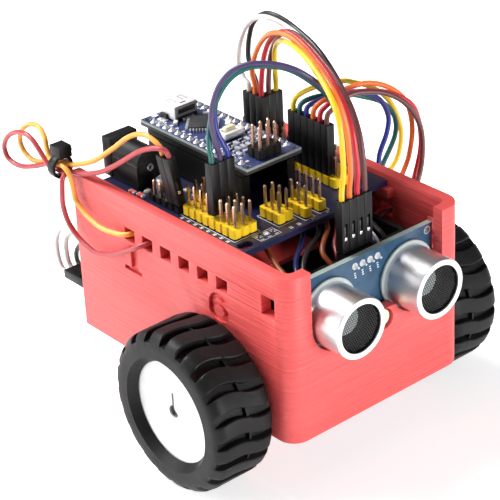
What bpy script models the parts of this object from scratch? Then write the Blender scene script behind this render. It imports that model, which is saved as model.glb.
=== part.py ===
# Line follower robot: a printed tub on two geared motors and a ball caster, with a distance sensor in front
# and a stack of two circuit boards on top. Front is -Y, the left side is -X, and the floor is z = 0.
import math

import bmesh
import bpy
from mathutils import Matrix, Vector

MM = 0.001
GAP = 0.3

# Tub, mm
BODY_W = 59.4
BODY_L = 85.8
BODY_Z0 = 15.3
BODY_H = 46.3
WALL = 3.1
FLOOR = 2.0
FRONT_CORNER_R = 5.0
REAR_CORNER_R = 1.0
REAR_WALL_TOP = 33.0
POST_W = 7.6
HOLE_COUNT = 6
HOLE_W = 4.2
HOLE_H = 3.7
HOLE_PITCH = 7.36
HOLE_Z = 51.55
FIRST_HOLE_FROM_REAR = 24.6
WINDOW_W = 4.8
WINDOW_H = 5.5
WINDOW_FROM_FRONT = 4.8

# Wheels and drive, mm
TYRE_R = 21.6
TYRE_W = 18.2
WHEEL_GAP = 0.9
AXLE_FROM_FRONT = 25.8
RIM_R = 13.65
RIM_RECESS = 2.4
BEAD_R = 15.4
RIM_WALL = 1.6
HUB_R = 4.0
SHAFT_R = 1.5
MOTOR_W = 12.0
MOTOR_H = 10.0
GEARBOX_L = 9.0
MOTOR_CAN_L = 15.0
SHAFT_IN_GEARBOX = 6.0
CLAMP_WALL = 2.0
CLAMP_FOOT = 4.5
CLAMP_L = 10.0
CASTER_R = 6.0
CASTER_HOUSING_R = 8.5
CASTER_LIP_Z = 3.4
CASTER_FROM_REAR = 14.0

# Distance sensor, mm
SENSOR_PROUD = 8.0
EYE_R = 8.05
EYE_SPACING = 26.7
EYE_Z = 45.8
EYE_L = 12.0
EYE_NOTCH_GAP = 0.7
EYE_FLANGE_OVER = 0.95
EYE_FLANGE_T = 0.6
EYE_RECESS = 3.2
MESH_T = 0.5
EYE_LIP = 1.65
BROW_Z = 41.7
SENSOR_BOARD_W = 45.5
SENSOR_BOARD_H = 20.5
SENSOR_BOARD_TOP = 56.7
CRYSTAL_W = 10.2
CRYSTAL_H = 4.6
CRYSTAL_T = 3.2
CRYSTAL_X = -0.9
CRYSTAL_Z = 38.8
SENSOR_PIN_BACK = 2.5

# Boards, pins and plugs, mm
BOARD_T = 1.6
PITCH = 2.54
PIN_W = 0.64
PIN_TALL = 6.0
HEADER_H = 2.5
PLUG_H = 14.0
PLUG_HOLE = 1.3
PLUG_HOLE_DEEP = 7.5
SHIELD_TOP_DROP = 1.2
SHIELD_L = 57.0
SHIELD_SIDE_GAP = 0.4
SHIELD_FROM_FRONT = 20.4
SHIELD_STEP_X = 13.0
SHIELD_STEP_Y = 3.4
RAIL_W = 2.0
RAIL_H = 2.3
MCU_L = 43.18
MCU_W = 18.2
MCU_X = -1.33
MCU_FROM_SHIELD = 15.4
MCU_ROW = 15.24
MCU_PINS = 15
SOCKET_H = 8.0
STRIP_H = 1.3
USB_L = 9.2
USB_W = 7.7
USB_H = 3.9
USB_WALL = 0.5
USB_PROUD = 1.2
CHIP = 7.0
CHIP_T = 1.0
BUTTON_W = 6.0
BUTTON_D = 4.0
BUTTON_H = 1.8
PLUNGER_W = 3.4
PLUNGER_D = 1.6
PLUNGER_PROUD = 1.0
PLUNGER_TRAVEL = 0.4
JACK_W = 9.0
JACK_L = 14.2
JACK_H = 11.0
JACK_FLANGE = 3.4
JACK_BARREL_R = 4.1
JACK_BORE_R = 2.9
JACK_PIN_R = 1.0
JACK_X = -18.6
CAPACITOR_R = 2.0
CAPACITOR_H = 4.3

# Battery, driver and line sensors, mm
CELL_R = 9.2
CELL_L = 65.2
BOX_WALL = 1.5
BOX_L = 70.0
BOX_TOP = 53.1
COVER_X0 = -24.3
COVER_X1 = -2.0
COVER_L = 55.0
COVER_AHEAD = 1.5
DRIVER_W = 34.0
DRIVER_L = 35.0
PEG_R = 2.0
PEG_H = 3.2
REAR_PIN_IN = 3.0
DRIVER_ROOM = 9.5
LINE_SENSOR_X = 9.5
LINE_SENSOR_FROM_FRONT = 14.0

# Wires, mm
WIRE_R = 0.7
WIRE_STEP = 4.0
BOND_R = 0.45
TIE_BORE_R = 2.5
TIE_T = 0.9
TIE_W = 2.4

# Places worked out from the sizes, mm. The origin is under the middle of tub and sensor together.
BODY_Z1 = BODY_Z0 + BODY_H
BODY_MID_Y = SENSOR_PROUD / 2
FRONT_Y = BODY_MID_Y - BODY_L / 2
REAR_Y = BODY_MID_Y + BODY_L / 2
INNER_X = BODY_W / 2 - WALL
FLOOR_TOP = BODY_Z0 + FLOOR
AXLE_Y = FRONT_Y + AXLE_FROM_FRONT
AXLE_Z = TYRE_R
WHEEL_X = BODY_W / 2 + WHEEL_GAP + TYRE_W / 2
MOTOR_FACE_X = INNER_X - GAP
CASTER_Y = REAR_Y - CASTER_FROM_REAR
SENSOR_BOARD_Y = FRONT_Y + WALL + EYE_FLANGE_T + 2 * GAP
SENSOR_BOARD_BACK = SENSOR_BOARD_Y + BOARD_T
SENSOR_PIN_Y = SENSOR_BOARD_BACK + SENSOR_PIN_BACK
SHIELD_Z1 = BODY_Z1 - SHIELD_TOP_DROP
SHIELD_Z0 = SHIELD_Z1 - BOARD_T
SHIELD_Y0 = FRONT_Y + SHIELD_FROM_FRONT
SHIELD_Y1 = SHIELD_Y0 + SHIELD_L
SHIELD_HALF_W = INNER_X - SHIELD_SIDE_GAP
ON_SHIELD = SHIELD_Z1 + GAP
HEADER_TOP = ON_SHIELD + HEADER_H
PIN_TOP = HEADER_TOP + PIN_TALL
SOCKET_TOP = ON_SHIELD + SOCKET_H
MCU_Z0 = SOCKET_TOP + STRIP_H + 2 * GAP
MCU_Z1 = MCU_Z0 + BOARD_T
MCU_Y0 = SHIELD_Y0 + MCU_FROM_SHIELD
MCU_Y1 = MCU_Y0 + MCU_L
MCU_MID_Y = (MCU_Y0 + MCU_Y1) / 2
ON_MCU = MCU_Z1 + GAP
CLAMP_TOP = AXLE_Z + MOTOR_H / 2 + GAP + CLAMP_WALL
BOX_Z0 = max(CLAMP_TOP, FLOOR_TOP + DRIVER_ROOM) + GAP
BOX_Y1 = REAR_Y - WALL - 2.3
BOX_Y0 = BOX_Y1 - BOX_L
BOX_HALF_W = 2 * CELL_R + 2 * GAP + BOX_WALL
CELL_Z = BOX_Z0 + BOX_WALL + GAP + CELL_R
COVER_Z0 = BOX_TOP + GAP
DRIVER_Z0 = FLOOR_TOP + PEG_H + GAP
DRIVER_Z1 = DRIVER_Z0 + BOARD_T
DRIVER_X0 = -INNER_X + 0.6
DRIVER_Y1 = REAR_Y - WALL - 2.3
DRIVER_Y0 = DRIVER_Y1 - DRIVER_L

# Pin grid of the shield. Column 0 is the rearmost of the far header.
GRID_Y0 = SHIELD_Y0 + 45.4
NEAR_ROWS = [MCU_X - 20.55 + PITCH * row for row in range(3)]
FAR_ROWS = [MCU_X + 15.47 + PITCH * row for row in range(3)]
DRIVER_PIN_Z = DRIVER_Z1 + 2.3
DRIVER_PINS = [DRIVER_X0 + 0.3 + PITCH * n for n in range(3)]
PLUG_Z0 = HEADER_TOP + GAP
PLUG_TOP = PLUG_Z0 + PLUG_H
NEAR_PLUG_LIFT = 0.8
POWER_X = -22.6
POWER_BASE_H = 1.5
POWER_PIN_TALL = 3.8
POWER_LEAN = math.radians(10)
REAR_PLUG_Y0 = REAR_Y - 1.9


def column(number):
    """Y of a column of the shield's pin grid, counted from the rear."""
    return GRID_Y0 - PITCH * number


def power_y(number):
    """Y of a power pin, counted from the rear and clear of the near header."""
    return column(3 + number) + 0.4


def clear_scene():
    for thing in list(bpy.data.objects):
        bpy.data.objects.remove(thing, do_unlink=True)


def new_group(name):
    group = bpy.data.collections.new(name)
    bpy.context.scene.collection.children.link(group)
    return group


clear_scene()
PARTS = new_group("line_follower_robot")
TOOLS = new_group("cutters")


def paint(thing, colour, roughness, metallic=0.0):
    """Give an object its own material."""
    material = bpy.data.materials.new(thing.name + "_finish")
    material.use_nodes = True
    shader = material.node_tree.nodes["Principled BSDF"]
    shader.inputs["Base Color"].default_value = (*colour, 1.0)
    shader.inputs["Roughness"].default_value = roughness
    shader.inputs["Metallic"].default_value = metallic
    thing.data.materials.clear()
    thing.data.materials.append(material)


def as_tool(thing):
    thing.hide_render = True
    thing.display_type = 'WIRE'
    return thing


def new_object(name, mesh, group, at=(0, 0, 0), turn=(0, 0, 0), parent=None):
    thing = bpy.data.objects.new(name, mesh)
    group.objects.link(thing)
    thing.location = Vector(at) * MM
    thing.rotation_euler = turn
    thing.parent = parent
    if group is TOOLS:
        as_tool(thing)
    return thing


def from_bmesh(name, shape, group, **place):
    mesh = bpy.data.meshes.new(name)
    shape.to_mesh(mesh)
    shape.free()
    return new_object(name, mesh, group, **place)


def smooth(thing, degrees=35):
    thing.data.shade_smooth()
    thing.data.set_sharp_from_angle(angle=math.radians(degrees))


def add_box(shape, low, high):
    """Add a box between two corners, in mm."""
    low = Vector(low) * MM
    high = Vector(high) * MM
    size = Matrix.Diagonal((*(high - low), 1.0))
    bmesh.ops.create_cube(shape, size=1.0, matrix=Matrix.Translation((low + high) / 2) @ size)


def add_rod(shape, radius, start, end, sides=24):
    """Add a round rod between two points, in mm."""
    start = Vector(start) * MM
    end = Vector(end) * MM
    along = end - start
    turn = along.to_track_quat('Z', 'Y').to_matrix().to_4x4()
    place = Matrix.Translation((start + end) / 2) @ turn
    bmesh.ops.create_cone(shape, cap_ends=True, segments=sides, radius1=radius * MM, radius2=radius * MM,
                          depth=along.length, matrix=place)


def boxes(name, pairs, group=None, **place):
    """One object from boxes given as corner pairs."""
    shape = bmesh.new()
    for low, high in pairs:
        add_box(shape, low, high)
    return from_bmesh(name, shape, group or PARTS, **place)


def rods(name, runs, group=None, sides=24, **place):
    """One object from rods given as radius, start, end."""
    shape = bmesh.new()
    for radius, start, end in runs:
        add_rod(shape, radius, start, end, sides)
    return from_bmesh(name, shape, group or PARTS, **place)


def combine(thing, tool, operation):
    step = thing.modifiers.new(operation.lower(), 'BOOLEAN')
    step.operation = operation
    step.object = tool
    step.solver = 'EXACT'


def cut(thing, tool):
    combine(thing, tool, 'DIFFERENCE')


def weld(thing, tool):
    combine(thing, tool, 'UNION')


def to_mesh_object(curve_thing, group):
    """Replace a curve object with a closed mesh object of the same name."""
    name = curve_thing.name
    bpy.context.view_layer.update()
    graph = bpy.context.evaluated_depsgraph_get()
    mesh = bpy.data.meshes.new_from_object(curve_thing.evaluated_get(graph))
    place = curve_thing.matrix_world.copy()
    bpy.data.objects.remove(curve_thing, do_unlink=True)
    shape = bmesh.new()
    shape.from_mesh(mesh)
    bmesh.ops.remove_doubles(shape, verts=shape.verts, dist=0.00002)
    shape.to_mesh(mesh)
    shape.free()
    thing = new_object(name, mesh, group)
    thing.matrix_world = place
    mesh.name = name
    return thing


def plate(name, outline, low, high, group=None):
    """A flat outline in XY, in mm, as a solid between two heights."""
    curve = bpy.data.curves.new(name, 'CURVE')
    curve.dimensions = '2D'
    curve.fill_mode = 'BOTH'
    curve.extrude = (high - low) / 2 * MM
    line = curve.splines.new('POLY')
    line.use_cyclic_u = True
    line.points.add(len(outline) - 1)
    for point, (x, y) in zip(line.points, outline):
        point.co = (x * MM, y * MM, 0.0, 1.0)
    thing = new_object(name, curve, group or PARTS, at=(0, 0, (low + high) / 2))
    return to_mesh_object(thing, group or PARTS)


def arc(x, y, radius, start, end, steps=6):
    """Points on an arc, angles in degrees."""
    angles = [math.radians(start + (end - start) * n / steps) for n in range(steps + 1)]
    return [(x + radius * math.cos(a), y + radius * math.sin(a)) for a in angles]


def tub_outline(half_w, y0, y1, front_r, rear_r):
    """A rectangle with one radius at its front corners and another at its rear corners."""
    return (arc(-half_w + front_r, y0 + front_r, front_r, 180, 270)
            + arc(half_w - front_r, y0 + front_r, front_r, 270, 360)
            + arc(half_w - rear_r, y1 - rear_r, rear_r, 0, 90, 2)
            + arc(-half_w + rear_r, y1 - rear_r, rear_r, 90, 180, 2))


def turned(name, profile, steps, closed=True, **place):
    """A profile of (radius, height) points in mm, turned about the object's Z."""
    mesh = bpy.data.meshes.new(name)
    points = [(r * MM, 0.0, z * MM) for r, z in profile]
    edges = [(n, n + 1) for n in range(len(points) - 1)]
    if closed:
        edges.append((len(points) - 1, 0))
    mesh.from_pydata(points, edges, [])
    thing = new_object(name, mesh, PARTS, **place)
    screw = thing.modifiers.new("turn", 'SCREW')
    screw.steps = steps
    screw.render_steps = steps
    screw.use_merge_vertices = True
    screw.merge_threshold = 0.00002
    screw.use_smooth_shade = True
    return thing


def axis_empty(name, at, turn=(0, 0, 0)):
    """An empty that carries pieces which move about it."""
    return new_object(name, None, PARTS, at=at, turn=turn)


def chassis():
    tub = plate("chassis", tub_outline(BODY_W / 2, FRONT_Y, REAR_Y, FRONT_CORNER_R, REAR_CORNER_R),
                BODY_Z0, BODY_Z1)
    inside = tub_outline(INNER_X, FRONT_Y + WALL, REAR_Y - WALL, FRONT_CORNER_R - WALL, REAR_CORNER_R / 2)
    cut(tub, plate("tub_inside", inside, FLOOR_TOP, BODY_Z1 + 1, TOOLS))
    rail_y1 = min(SHIELD_Y1, REAR_Y - WALL) - 0.5
    rail_z1 = SHIELD_Z0 - GAP
    for side, hand in ((-1, "left"), (1, "right")):
        low_x, high_x = sorted((side * (INNER_X - RAIL_W), side * (INNER_X + 0.5)))
        weld(tub, boxes("rail_" + hand, [((low_x, SHIELD_Y0 + 1.5, rail_z1 - RAIL_H),
                                          (high_x, rail_y1, rail_z1))], TOOLS))
        low_x, high_x = sorted((side * (SENSOR_BOARD_W / 2 - 2), side * (INNER_X + 0.5)))
        weld(tub, boxes("board_rib_" + hand, [((low_x, SENSOR_BOARD_BACK + GAP, FLOOR_TOP - 0.5),
                                               (high_x, SENSOR_BOARD_BACK + GAP + 1.6, HOLE_Z - 4))], TOOLS))
    peg_rows = (DRIVER_Y0 + 4, DRIVER_Y1 - 7)
    pegs = [(PEG_R, (x, y, FLOOR_TOP - 0.5), (x, y, FLOOR_TOP + PEG_H))
            for x in (DRIVER_X0 + 4, DRIVER_X0 + DRIVER_W - 4) for y in peg_rows]
    weld(tub, rods("driver_pegs", pegs, TOOLS, sides=12))
    weld(tub, boxes("box_ledge", [((-14, REAR_Y - WALL - 5, BOX_Z0 - GAP - 2.6),
                                   (14, REAR_Y - WALL + 0.5, BOX_Z0 - GAP))], TOOLS))
    cut(tub, boxes("front_gap", [((-BODY_W / 2 + POST_W, FRONT_Y - 1, EYE_Z),
                                  (BODY_W / 2 - POST_W, FRONT_Y + WALL + 0.2, BODY_Z1 + 1))], TOOLS))
    cut(tub, boxes("brow_gap", [((-EYE_SPACING / 2, FRONT_Y - 1, BROW_Z),
                                 (EYE_SPACING / 2, FRONT_Y + WALL + 0.2, EYE_Z + 1))], TOOLS))
    for side, hand in ((-1, "left"), (1, "right")):
        x = side * EYE_SPACING / 2
        cut(tub, rods("eye_notch_" + hand, [((EYE_R + EYE_NOTCH_GAP), (x, FRONT_Y - 1, EYE_Z),
                                             (x, FRONT_Y + WALL + 0.2, EYE_Z))], TOOLS, sides=32))
    slot_r = CRYSTAL_H / 2 + 0.6
    slot_end = CRYSTAL_X + CRYSTAL_W / 2 - CRYSTAL_H / 2
    slot_low = CRYSTAL_Z - slot_r
    cut(tub, boxes("crystal_slot", [((CRYSTAL_X - CRYSTAL_W / 2 - 0.6, FRONT_Y - 1, slot_low),
                                     (slot_end, FRONT_Y + WALL + 0.2, BROW_Z + 0.5))], TOOLS))
    cut(tub, rods("crystal_slot_end", [(slot_r, (slot_end, FRONT_Y - 1.2, CRYSTAL_Z),
                                        (slot_end, FRONT_Y + WALL + 0.3, CRYSTAL_Z))], TOOLS))
    reach = BODY_W / 2 + 1
    openings = [((-reach, hole_y(n) - HOLE_W / 2, HOLE_Z - HOLE_H / 2),
                 (reach, hole_y(n) + HOLE_W / 2, HOLE_Z + HOLE_H / 2)) for n in range(HOLE_COUNT)]
    window_y = FRONT_Y + WINDOW_FROM_FRONT
    openings.append(((-reach, window_y, HOLE_Z - HOLE_H / 2),
                     (reach, window_y + WINDOW_W, HOLE_Z - HOLE_H / 2 + WINDOW_H)))
    cut(tub, boxes("side_openings", openings, TOOLS))
    cut(tub, rods("axle_hole", [(2 * SHAFT_R, (-reach, AXLE_Y, AXLE_Z), (reach, AXLE_Y, AXLE_Z))], TOOLS))
    cut(tub, boxes("motor_pocket", [((-MOTOR_FACE_X - 2 * GAP, AXLE_Y - MOTOR_W / 2 - GAP,
                                      AXLE_Z - MOTOR_H / 2 - GAP),
                                     (MOTOR_FACE_X + 2 * GAP, AXLE_Y + MOTOR_W / 2 + GAP,
                                      FLOOR_TOP + 1))], TOOLS))
    cut(tub, boxes("rear_gap", [((-INNER_X, REAR_Y - WALL - 0.2, REAR_WALL_TOP),
                                 (INNER_X, REAR_Y + 1, BODY_Z1 + 1))], TOOLS))
    cut(tub, boxes("rear_plug_gap", [((DRIVER_PINS[0] - PITCH / 2 - 0.5, REAR_Y - WALL - 0.2,
                                       DRIVER_PIN_Z - PITCH / 2 - 0.6),
                                      (DRIVER_PINS[-1] + PITCH / 2 + 0.5, REAR_Y + 1,
                                       DRIVER_PIN_Z + PITCH / 2 + 0.6))], TOOLS))
    paint(tub, (0.83, 0.05, 0.05), 0.45)


def hole_y(number):
    """Y of a wire hole in the side wall, counted from the rear."""
    return REAR_Y - FIRST_HOLE_FROM_REAR - HOLE_PITCH * number


def wheel(hand, side):
    axis = axis_empty("wheel_axis_" + hand, (side * WHEEL_X, AXLE_Y, AXLE_Z), (0, side * math.pi / 2, 0))
    half = TYRE_W / 2
    lip = half - RIM_RECESS
    tyre = turned("tyre_" + hand, [
        (RIM_R, half), (TYRE_R - 1.2, half), (TYRE_R - 0.25, half - 1.5), (TYRE_R, half / 2),
        (TYRE_R, -half / 2), (TYRE_R - 0.25, -half + 1.5), (TYRE_R - 1.2, -half), (RIM_R, -half),
        (RIM_R, -lip), (BEAD_R, -lip), (BEAD_R, lip), (RIM_R, lip)], 32, parent=axis)
    paint(tyre, (0.02, 0.02, 0.022), 0.7)
    edge = lip - GAP
    outer = BEAD_R - GAP
    web = edge - 2
    rim = turned("rim_" + hand, [
        (SHAFT_R + GAP, edge), (outer, edge), (outer, -edge), (outer - RIM_WALL, -edge), (outer - RIM_WALL,
                                                                                          web),
        (HUB_R, web), (HUB_R, -edge + 2), (SHAFT_R + GAP, -edge + 2)], 28, parent=axis)
    paint(rim, (0.86, 0.86, 0.85), 0.4)
    inner_end = MOTOR_FACE_X - SHAFT_IN_GEARBOX - WHEEL_X
    shaft = rods("motor_shaft_" + hand, [(SHAFT_R, (0, 0, inner_end), (0, 0, edge - 0.8))], sides=16,
                 parent=axis)
    smooth(shaft)
    paint(shaft, (0.6, 0.6, 0.58), 0.3, 1.0)


def gear_motor(hand, side):
    face = side * MOTOR_FACE_X
    gear_end = side * (MOTOR_FACE_X - GEARBOX_L)
    can_end = side * (MOTOR_FACE_X - GEARBOX_L - MOTOR_CAN_L)
    low_x, high_x = sorted((face, gear_end))
    motor = boxes("gear_motor_" + hand, [((low_x, AXLE_Y - MOTOR_W / 2, AXLE_Z - MOTOR_H / 2),
                                          (high_x, AXLE_Y + MOTOR_W / 2, AXLE_Z + MOTOR_H / 2))])
    can = rods("motor_can_" + hand, [(MOTOR_W / 2, (gear_end + side * 0.5, AXLE_Y, AXLE_Z),
                                      (can_end, AXLE_Y, AXLE_Z))], TOOLS)
    flats = boxes("can_flats_" + hand, [((-2 * BODY_W, AXLE_Y - MOTOR_W, AXLE_Z - MOTOR_H / 2 + 0.05),
                                         (2 * BODY_W, AXLE_Y + MOTOR_W, AXLE_Z + MOTOR_H / 2 - 0.05))], TOOLS)
    combine(can, flats, 'INTERSECT')
    weld(motor, can)
    bore_end = side * (MOTOR_FACE_X - SHAFT_IN_GEARBOX - GAP)
    cut(motor, rods("gearbox_bore_" + hand, [(SHAFT_R + GAP, (face + side, AXLE_Y, AXLE_Z),
                                              (bore_end, AXLE_Y, AXLE_Z))], TOOLS, sides=16))
    paint(motor, (0.62, 0.6, 0.55), 0.35, 1.0)


def motor_clamp(hand, side):
    """A strap over the motor with two feet on the floor, drawn in YZ and turned upright."""
    inner = MOTOR_W / 2 + GAP
    outer = inner + CLAMP_WALL
    foot = outer + CLAMP_FOOT
    low = FLOOR_TOP + GAP
    roof = CLAMP_TOP - CLAMP_WALL
    outline = [(-foot, low), (-inner, low), (-inner, roof), (inner, roof), (inner, low), (foot, low),
               (foot, low + CLAMP_WALL), (outer, low + CLAMP_WALL), (outer, CLAMP_TOP), (-outer, CLAMP_TOP),
               (-outer, low + CLAMP_WALL), (-foot, low + CLAMP_WALL)]
    clamp = plate("motor_clamp_" + hand, outline, -CLAMP_L / 2, CLAMP_L / 2)
    middle = side * (MOTOR_FACE_X - GEARBOX_L - CLAMP_L / 2 + 2)
    clamp.matrix_world = (Matrix.Translation(Vector((middle, AXLE_Y, 0)) * MM)
                          @ Matrix(((0, 0, 1, 0), (1, 0, 0, 0), (0, 1, 0, 0), (0, 0, 0, 1))))
    paint(clamp, (0.83, 0.05, 0.05), 0.45)


def caster():
    room = CASTER_R + GAP
    angles = [math.asin((CASTER_LIP_Z - CASTER_R) / room) + n / 6 * (
        math.pi / 2 - math.asin((CASTER_LIP_Z - CASTER_R) / room)) for n in range(7)]
    dome = [(room * math.cos(a), CASTER_R + room * math.sin(a)) for a in angles[:-1]]
    top = BODY_Z0 - GAP
    profile = [(0, top), (CASTER_HOUSING_R, top), (CASTER_HOUSING_R, CASTER_LIP_Z)] + dome + [(0,
                                                                                               CASTER_R + room)]
    housing = turned("caster_housing", profile, 28, closed=False, at=(0, CASTER_Y, 0))
    paint(housing, (0.05, 0.05, 0.05), 0.5)
    axis = axis_empty("caster_axis", (0, CASTER_Y, CASTER_R))
    shape = bmesh.new()
    bmesh.ops.create_uvsphere(shape, u_segments=20, v_segments=12, radius=CASTER_R * MM)
    ball = from_bmesh("caster_ball", shape, PARTS, parent=axis)
    smooth(ball, 60)
    paint(ball, (0.75, 0.75, 0.76), 0.2, 1.0)


def battery():
    box = boxes("battery_box", [((-BOX_HALF_W, BOX_Y0, BOX_Z0), (BOX_HALF_W, BOX_Y1, BOX_TOP))])
    cut(box, boxes("box_inside", [((-BOX_HALF_W + BOX_WALL, BOX_Y0 + BOX_WALL, BOX_Z0 + BOX_WALL),
                                   (BOX_HALF_W - BOX_WALL, BOX_Y1 - BOX_WALL, BOX_TOP + 1))], TOOLS))
    paint(box, (0.02, 0.02, 0.02), 0.5)
    middle = (BOX_Y0 + BOX_Y1) / 2
    for side, hand in ((-1, "left"), (1, "right")):
        x = side * (CELL_R + GAP / 2)
        cell = rods("battery_cell_" + hand, [(CELL_R, (x, middle - CELL_L / 2, CELL_Z),
                                              (x, middle + CELL_L / 2, CELL_Z))], sides=28)
        smooth(cell)
        paint(cell, (0.1, 0.25, 0.6), 0.4)
    cover_y0 = SHIELD_Y0 - COVER_AHEAD
    cover = boxes("battery_cover", [((COVER_X0, cover_y0, COVER_Z0),
                                     (COVER_X1, cover_y0 + COVER_L, COVER_Z0 + BOARD_T))])
    paint(cover, (0.83, 0.05, 0.05), 0.45)


def motor_driver():
    board = boxes("motor_driver_board", [((DRIVER_X0, DRIVER_Y0, DRIVER_Z0),
                                          (DRIVER_X0 + DRIVER_W, DRIVER_Y1, DRIVER_Z1))])
    middle_x = DRIVER_X0 + DRIVER_W / 2
    middle_y = (DRIVER_Y0 + DRIVER_Y1) / 2
    lower = DRIVER_Z1 - 0.3
    weld(board, boxes("driver_chip", [((middle_x - 4, middle_y - 6, lower),
                                       (middle_x + 4, middle_y + 6, DRIVER_Z1 + 2.5))], TOOLS))
    half = PITCH / 2
    weld(board, boxes("driver_pin_base", [((DRIVER_PINS[0] - half + 1, DRIVER_Y1 - 3, lower),
                                           (DRIVER_PINS[-1] + half, DRIVER_Y1 - 0.4,
                                            DRIVER_PIN_Z + half))], TOOLS))
    pin = PIN_W / 2
    weld(board, boxes("driver_pins", [((x - pin, DRIVER_Y1 - 2, DRIVER_PIN_Z - pin),
                                       (x + pin, REAR_PLUG_Y0 + REAR_PIN_IN, DRIVER_PIN_Z + pin))
                                      for x in DRIVER_PINS], TOOLS))
    paint(board, (0.03, 0.12, 0.4), 0.4)


def line_sensor(hand, side):
    """A small board under the floor with its infrared pair looking down."""
    x = side * LINE_SENSOR_X
    y = FRONT_Y + LINE_SENSOR_FROM_FRONT
    top = BODY_Z0 - GAP
    board = boxes("line_sensor_" + hand, [((x - 7, y - 9, top - BOARD_T), (x + 7, y + 9, top))])
    weld(board, boxes("infrared_pair_" + hand, [((x - 5.1, y - 5.9, top - BOARD_T - 5),
                                                 (x + 5.1, y - 0.1, top - BOARD_T + 0.4))], TOOLS))
    paint(board, (0.02, 0.05, 0.25), 0.4)


def pin_header(name, xs, ys, z0, base_h=HEADER_H, tall=PIN_TALL, colour=(0.85, 0.7, 0.02)):
    """A block of pins on a plastic base."""
    half = PITCH / 2
    base = boxes(name, [((xs[0] - half, min(ys) - half, z0), (xs[-1] + half, max(ys) + half, z0 + base_h))])
    pin = PIN_W / 2
    pins = [((x - pin, y - pin, z0 + base_h - 0.6), (x + pin, y + pin,
                                                     z0 + base_h + tall)) for x in xs for y in ys]
    weld(base, boxes(name + "_pins", pins, TOOLS))
    paint(base, colour, 0.5)


def plug(name, cells, z0, outline=None, hole=(PLUG_HOLE, PLUG_HOLE)):
    """A black plug housing over the pins at the given places."""
    half = PITCH / 2 - 0.02
    xs = [x for x, y in cells]
    ys = [y for x, y in cells]
    if outline:
        body = plate(name, outline, z0, z0 + PLUG_H)
    else:
        body = boxes(name, [((min(xs) - half, min(ys) - half, z0), (max(xs) + half, max(ys) + half,
                                                                    z0 + PLUG_H))])
    wide, deep = hole[0] / 2, hole[1] / 2
    holes = [((x - wide, y - deep, z0 - 1), (x + wide, y + deep, z0 + PLUG_HOLE_DEEP)) for x, y in cells]
    cut(body, boxes(name + "_holes", holes, TOOLS, parent=None if outline else body))
    paint(body, (0.02, 0.02, 0.02), 0.55)
    return body


def shield():
    low = -SHIELD_HALF_W
    high = SHIELD_HALF_W
    step_y = SHIELD_Y0 + SHIELD_STEP_Y
    outline = [(low, SHIELD_Y0), (SHIELD_STEP_X, SHIELD_Y0), (SHIELD_STEP_X + 2, step_y), (high, step_y),
               (high, SHIELD_Y1), (low, SHIELD_Y1)]
    board = plate("shield_board", outline, SHIELD_Z0, SHIELD_Z1)
    hole_x = SHIELD_HALF_W - 4.3
    hole_runs = [(1.6, (x, y, SHIELD_Z0 - 1), (x, y, SHIELD_Z1 + 1))
                 for x, y in ((-hole_x, SHIELD_Y0 + 2.9), (hole_x, SHIELD_Y1 - 3.2))]
    cut(board, rods("shield_holes", hole_runs, TOOLS, sides=16))
    paint(board, (0.02, 0.05, 0.25), 0.35)
    pin_header("shield_header_near", NEAR_ROWS, [column(n) for n in range(8, 16)], ON_SHIELD)
    pin_header("shield_header_far", FAR_ROWS, [column(n) for n in range(15)], ON_SHIELD)
    pin_header("shield_header_a", [MCU_X - 7.62, MCU_X - 5.08],
               [SHIELD_Y0 + 10.6 - PITCH * n for n in range(3)],
               ON_SHIELD)
    pin_header("shield_header_b", [MCU_X - 0.67], [SHIELD_Y0 + 8.5 - PITCH * n for n in range(3)], ON_SHIELD)
    pin_header("shield_header_c", [MCU_X + 4.33], [SHIELD_Y0 + 11.3 - PITCH * n for n in range(4)], ON_SHIELD)
    pin_header("power_header", [POWER_X], [power_y(n) for n in range(5)], ON_SHIELD,
               POWER_BASE_H, POWER_PIN_TALL, (0.02, 0.02, 0.02))
    x, y = -19.0, SHIELD_Y0 + 39.0
    capacitor = rods("capacitor", [(CAPACITOR_R, (x, y, ON_SHIELD), (x, y, ON_SHIELD + CAPACITOR_H))], sides=20)
    smooth(capacitor)
    paint(capacitor, (0.7, 0.7, 0.7), 0.3, 1.0)


def power_jack():
    y1 = SHIELD_Y1 + 2.0
    y0 = y1 - JACK_L
    half = JACK_W / 2
    axis_z = ON_SHIELD + JACK_H - JACK_BARREL_R - 0.6
    jack = boxes("dc_jack", [((JACK_X - half, y1 - JACK_FLANGE, ON_SHIELD), (JACK_X + half, y1,
                                                                             ON_SHIELD + JACK_H))])
    weld(jack, boxes("jack_base", [((JACK_X - half + 0.2, y0, ON_SHIELD),
                                    (JACK_X + half - 0.2, y1 - JACK_FLANGE + 0.5, axis_z))], TOOLS))
    weld(jack, rods("jack_barrel", [(JACK_BARREL_R, (JACK_X, y0 + 0.1, axis_z), (JACK_X, y1 - 1, axis_z))],
                    TOOLS))
    cut(jack, rods("jack_bore", [(JACK_BORE_R, (JACK_X, y0 + 4, axis_z), (JACK_X, y1 + 1, axis_z))], TOOLS))
    weld(jack, rods("jack_pin", [(JACK_PIN_R, (JACK_X, y0 + 3, axis_z), (JACK_X, y1 - 1, axis_z))], TOOLS,
                    sides=12))
    paint(jack, (0.02, 0.02, 0.02), 0.5)


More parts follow.
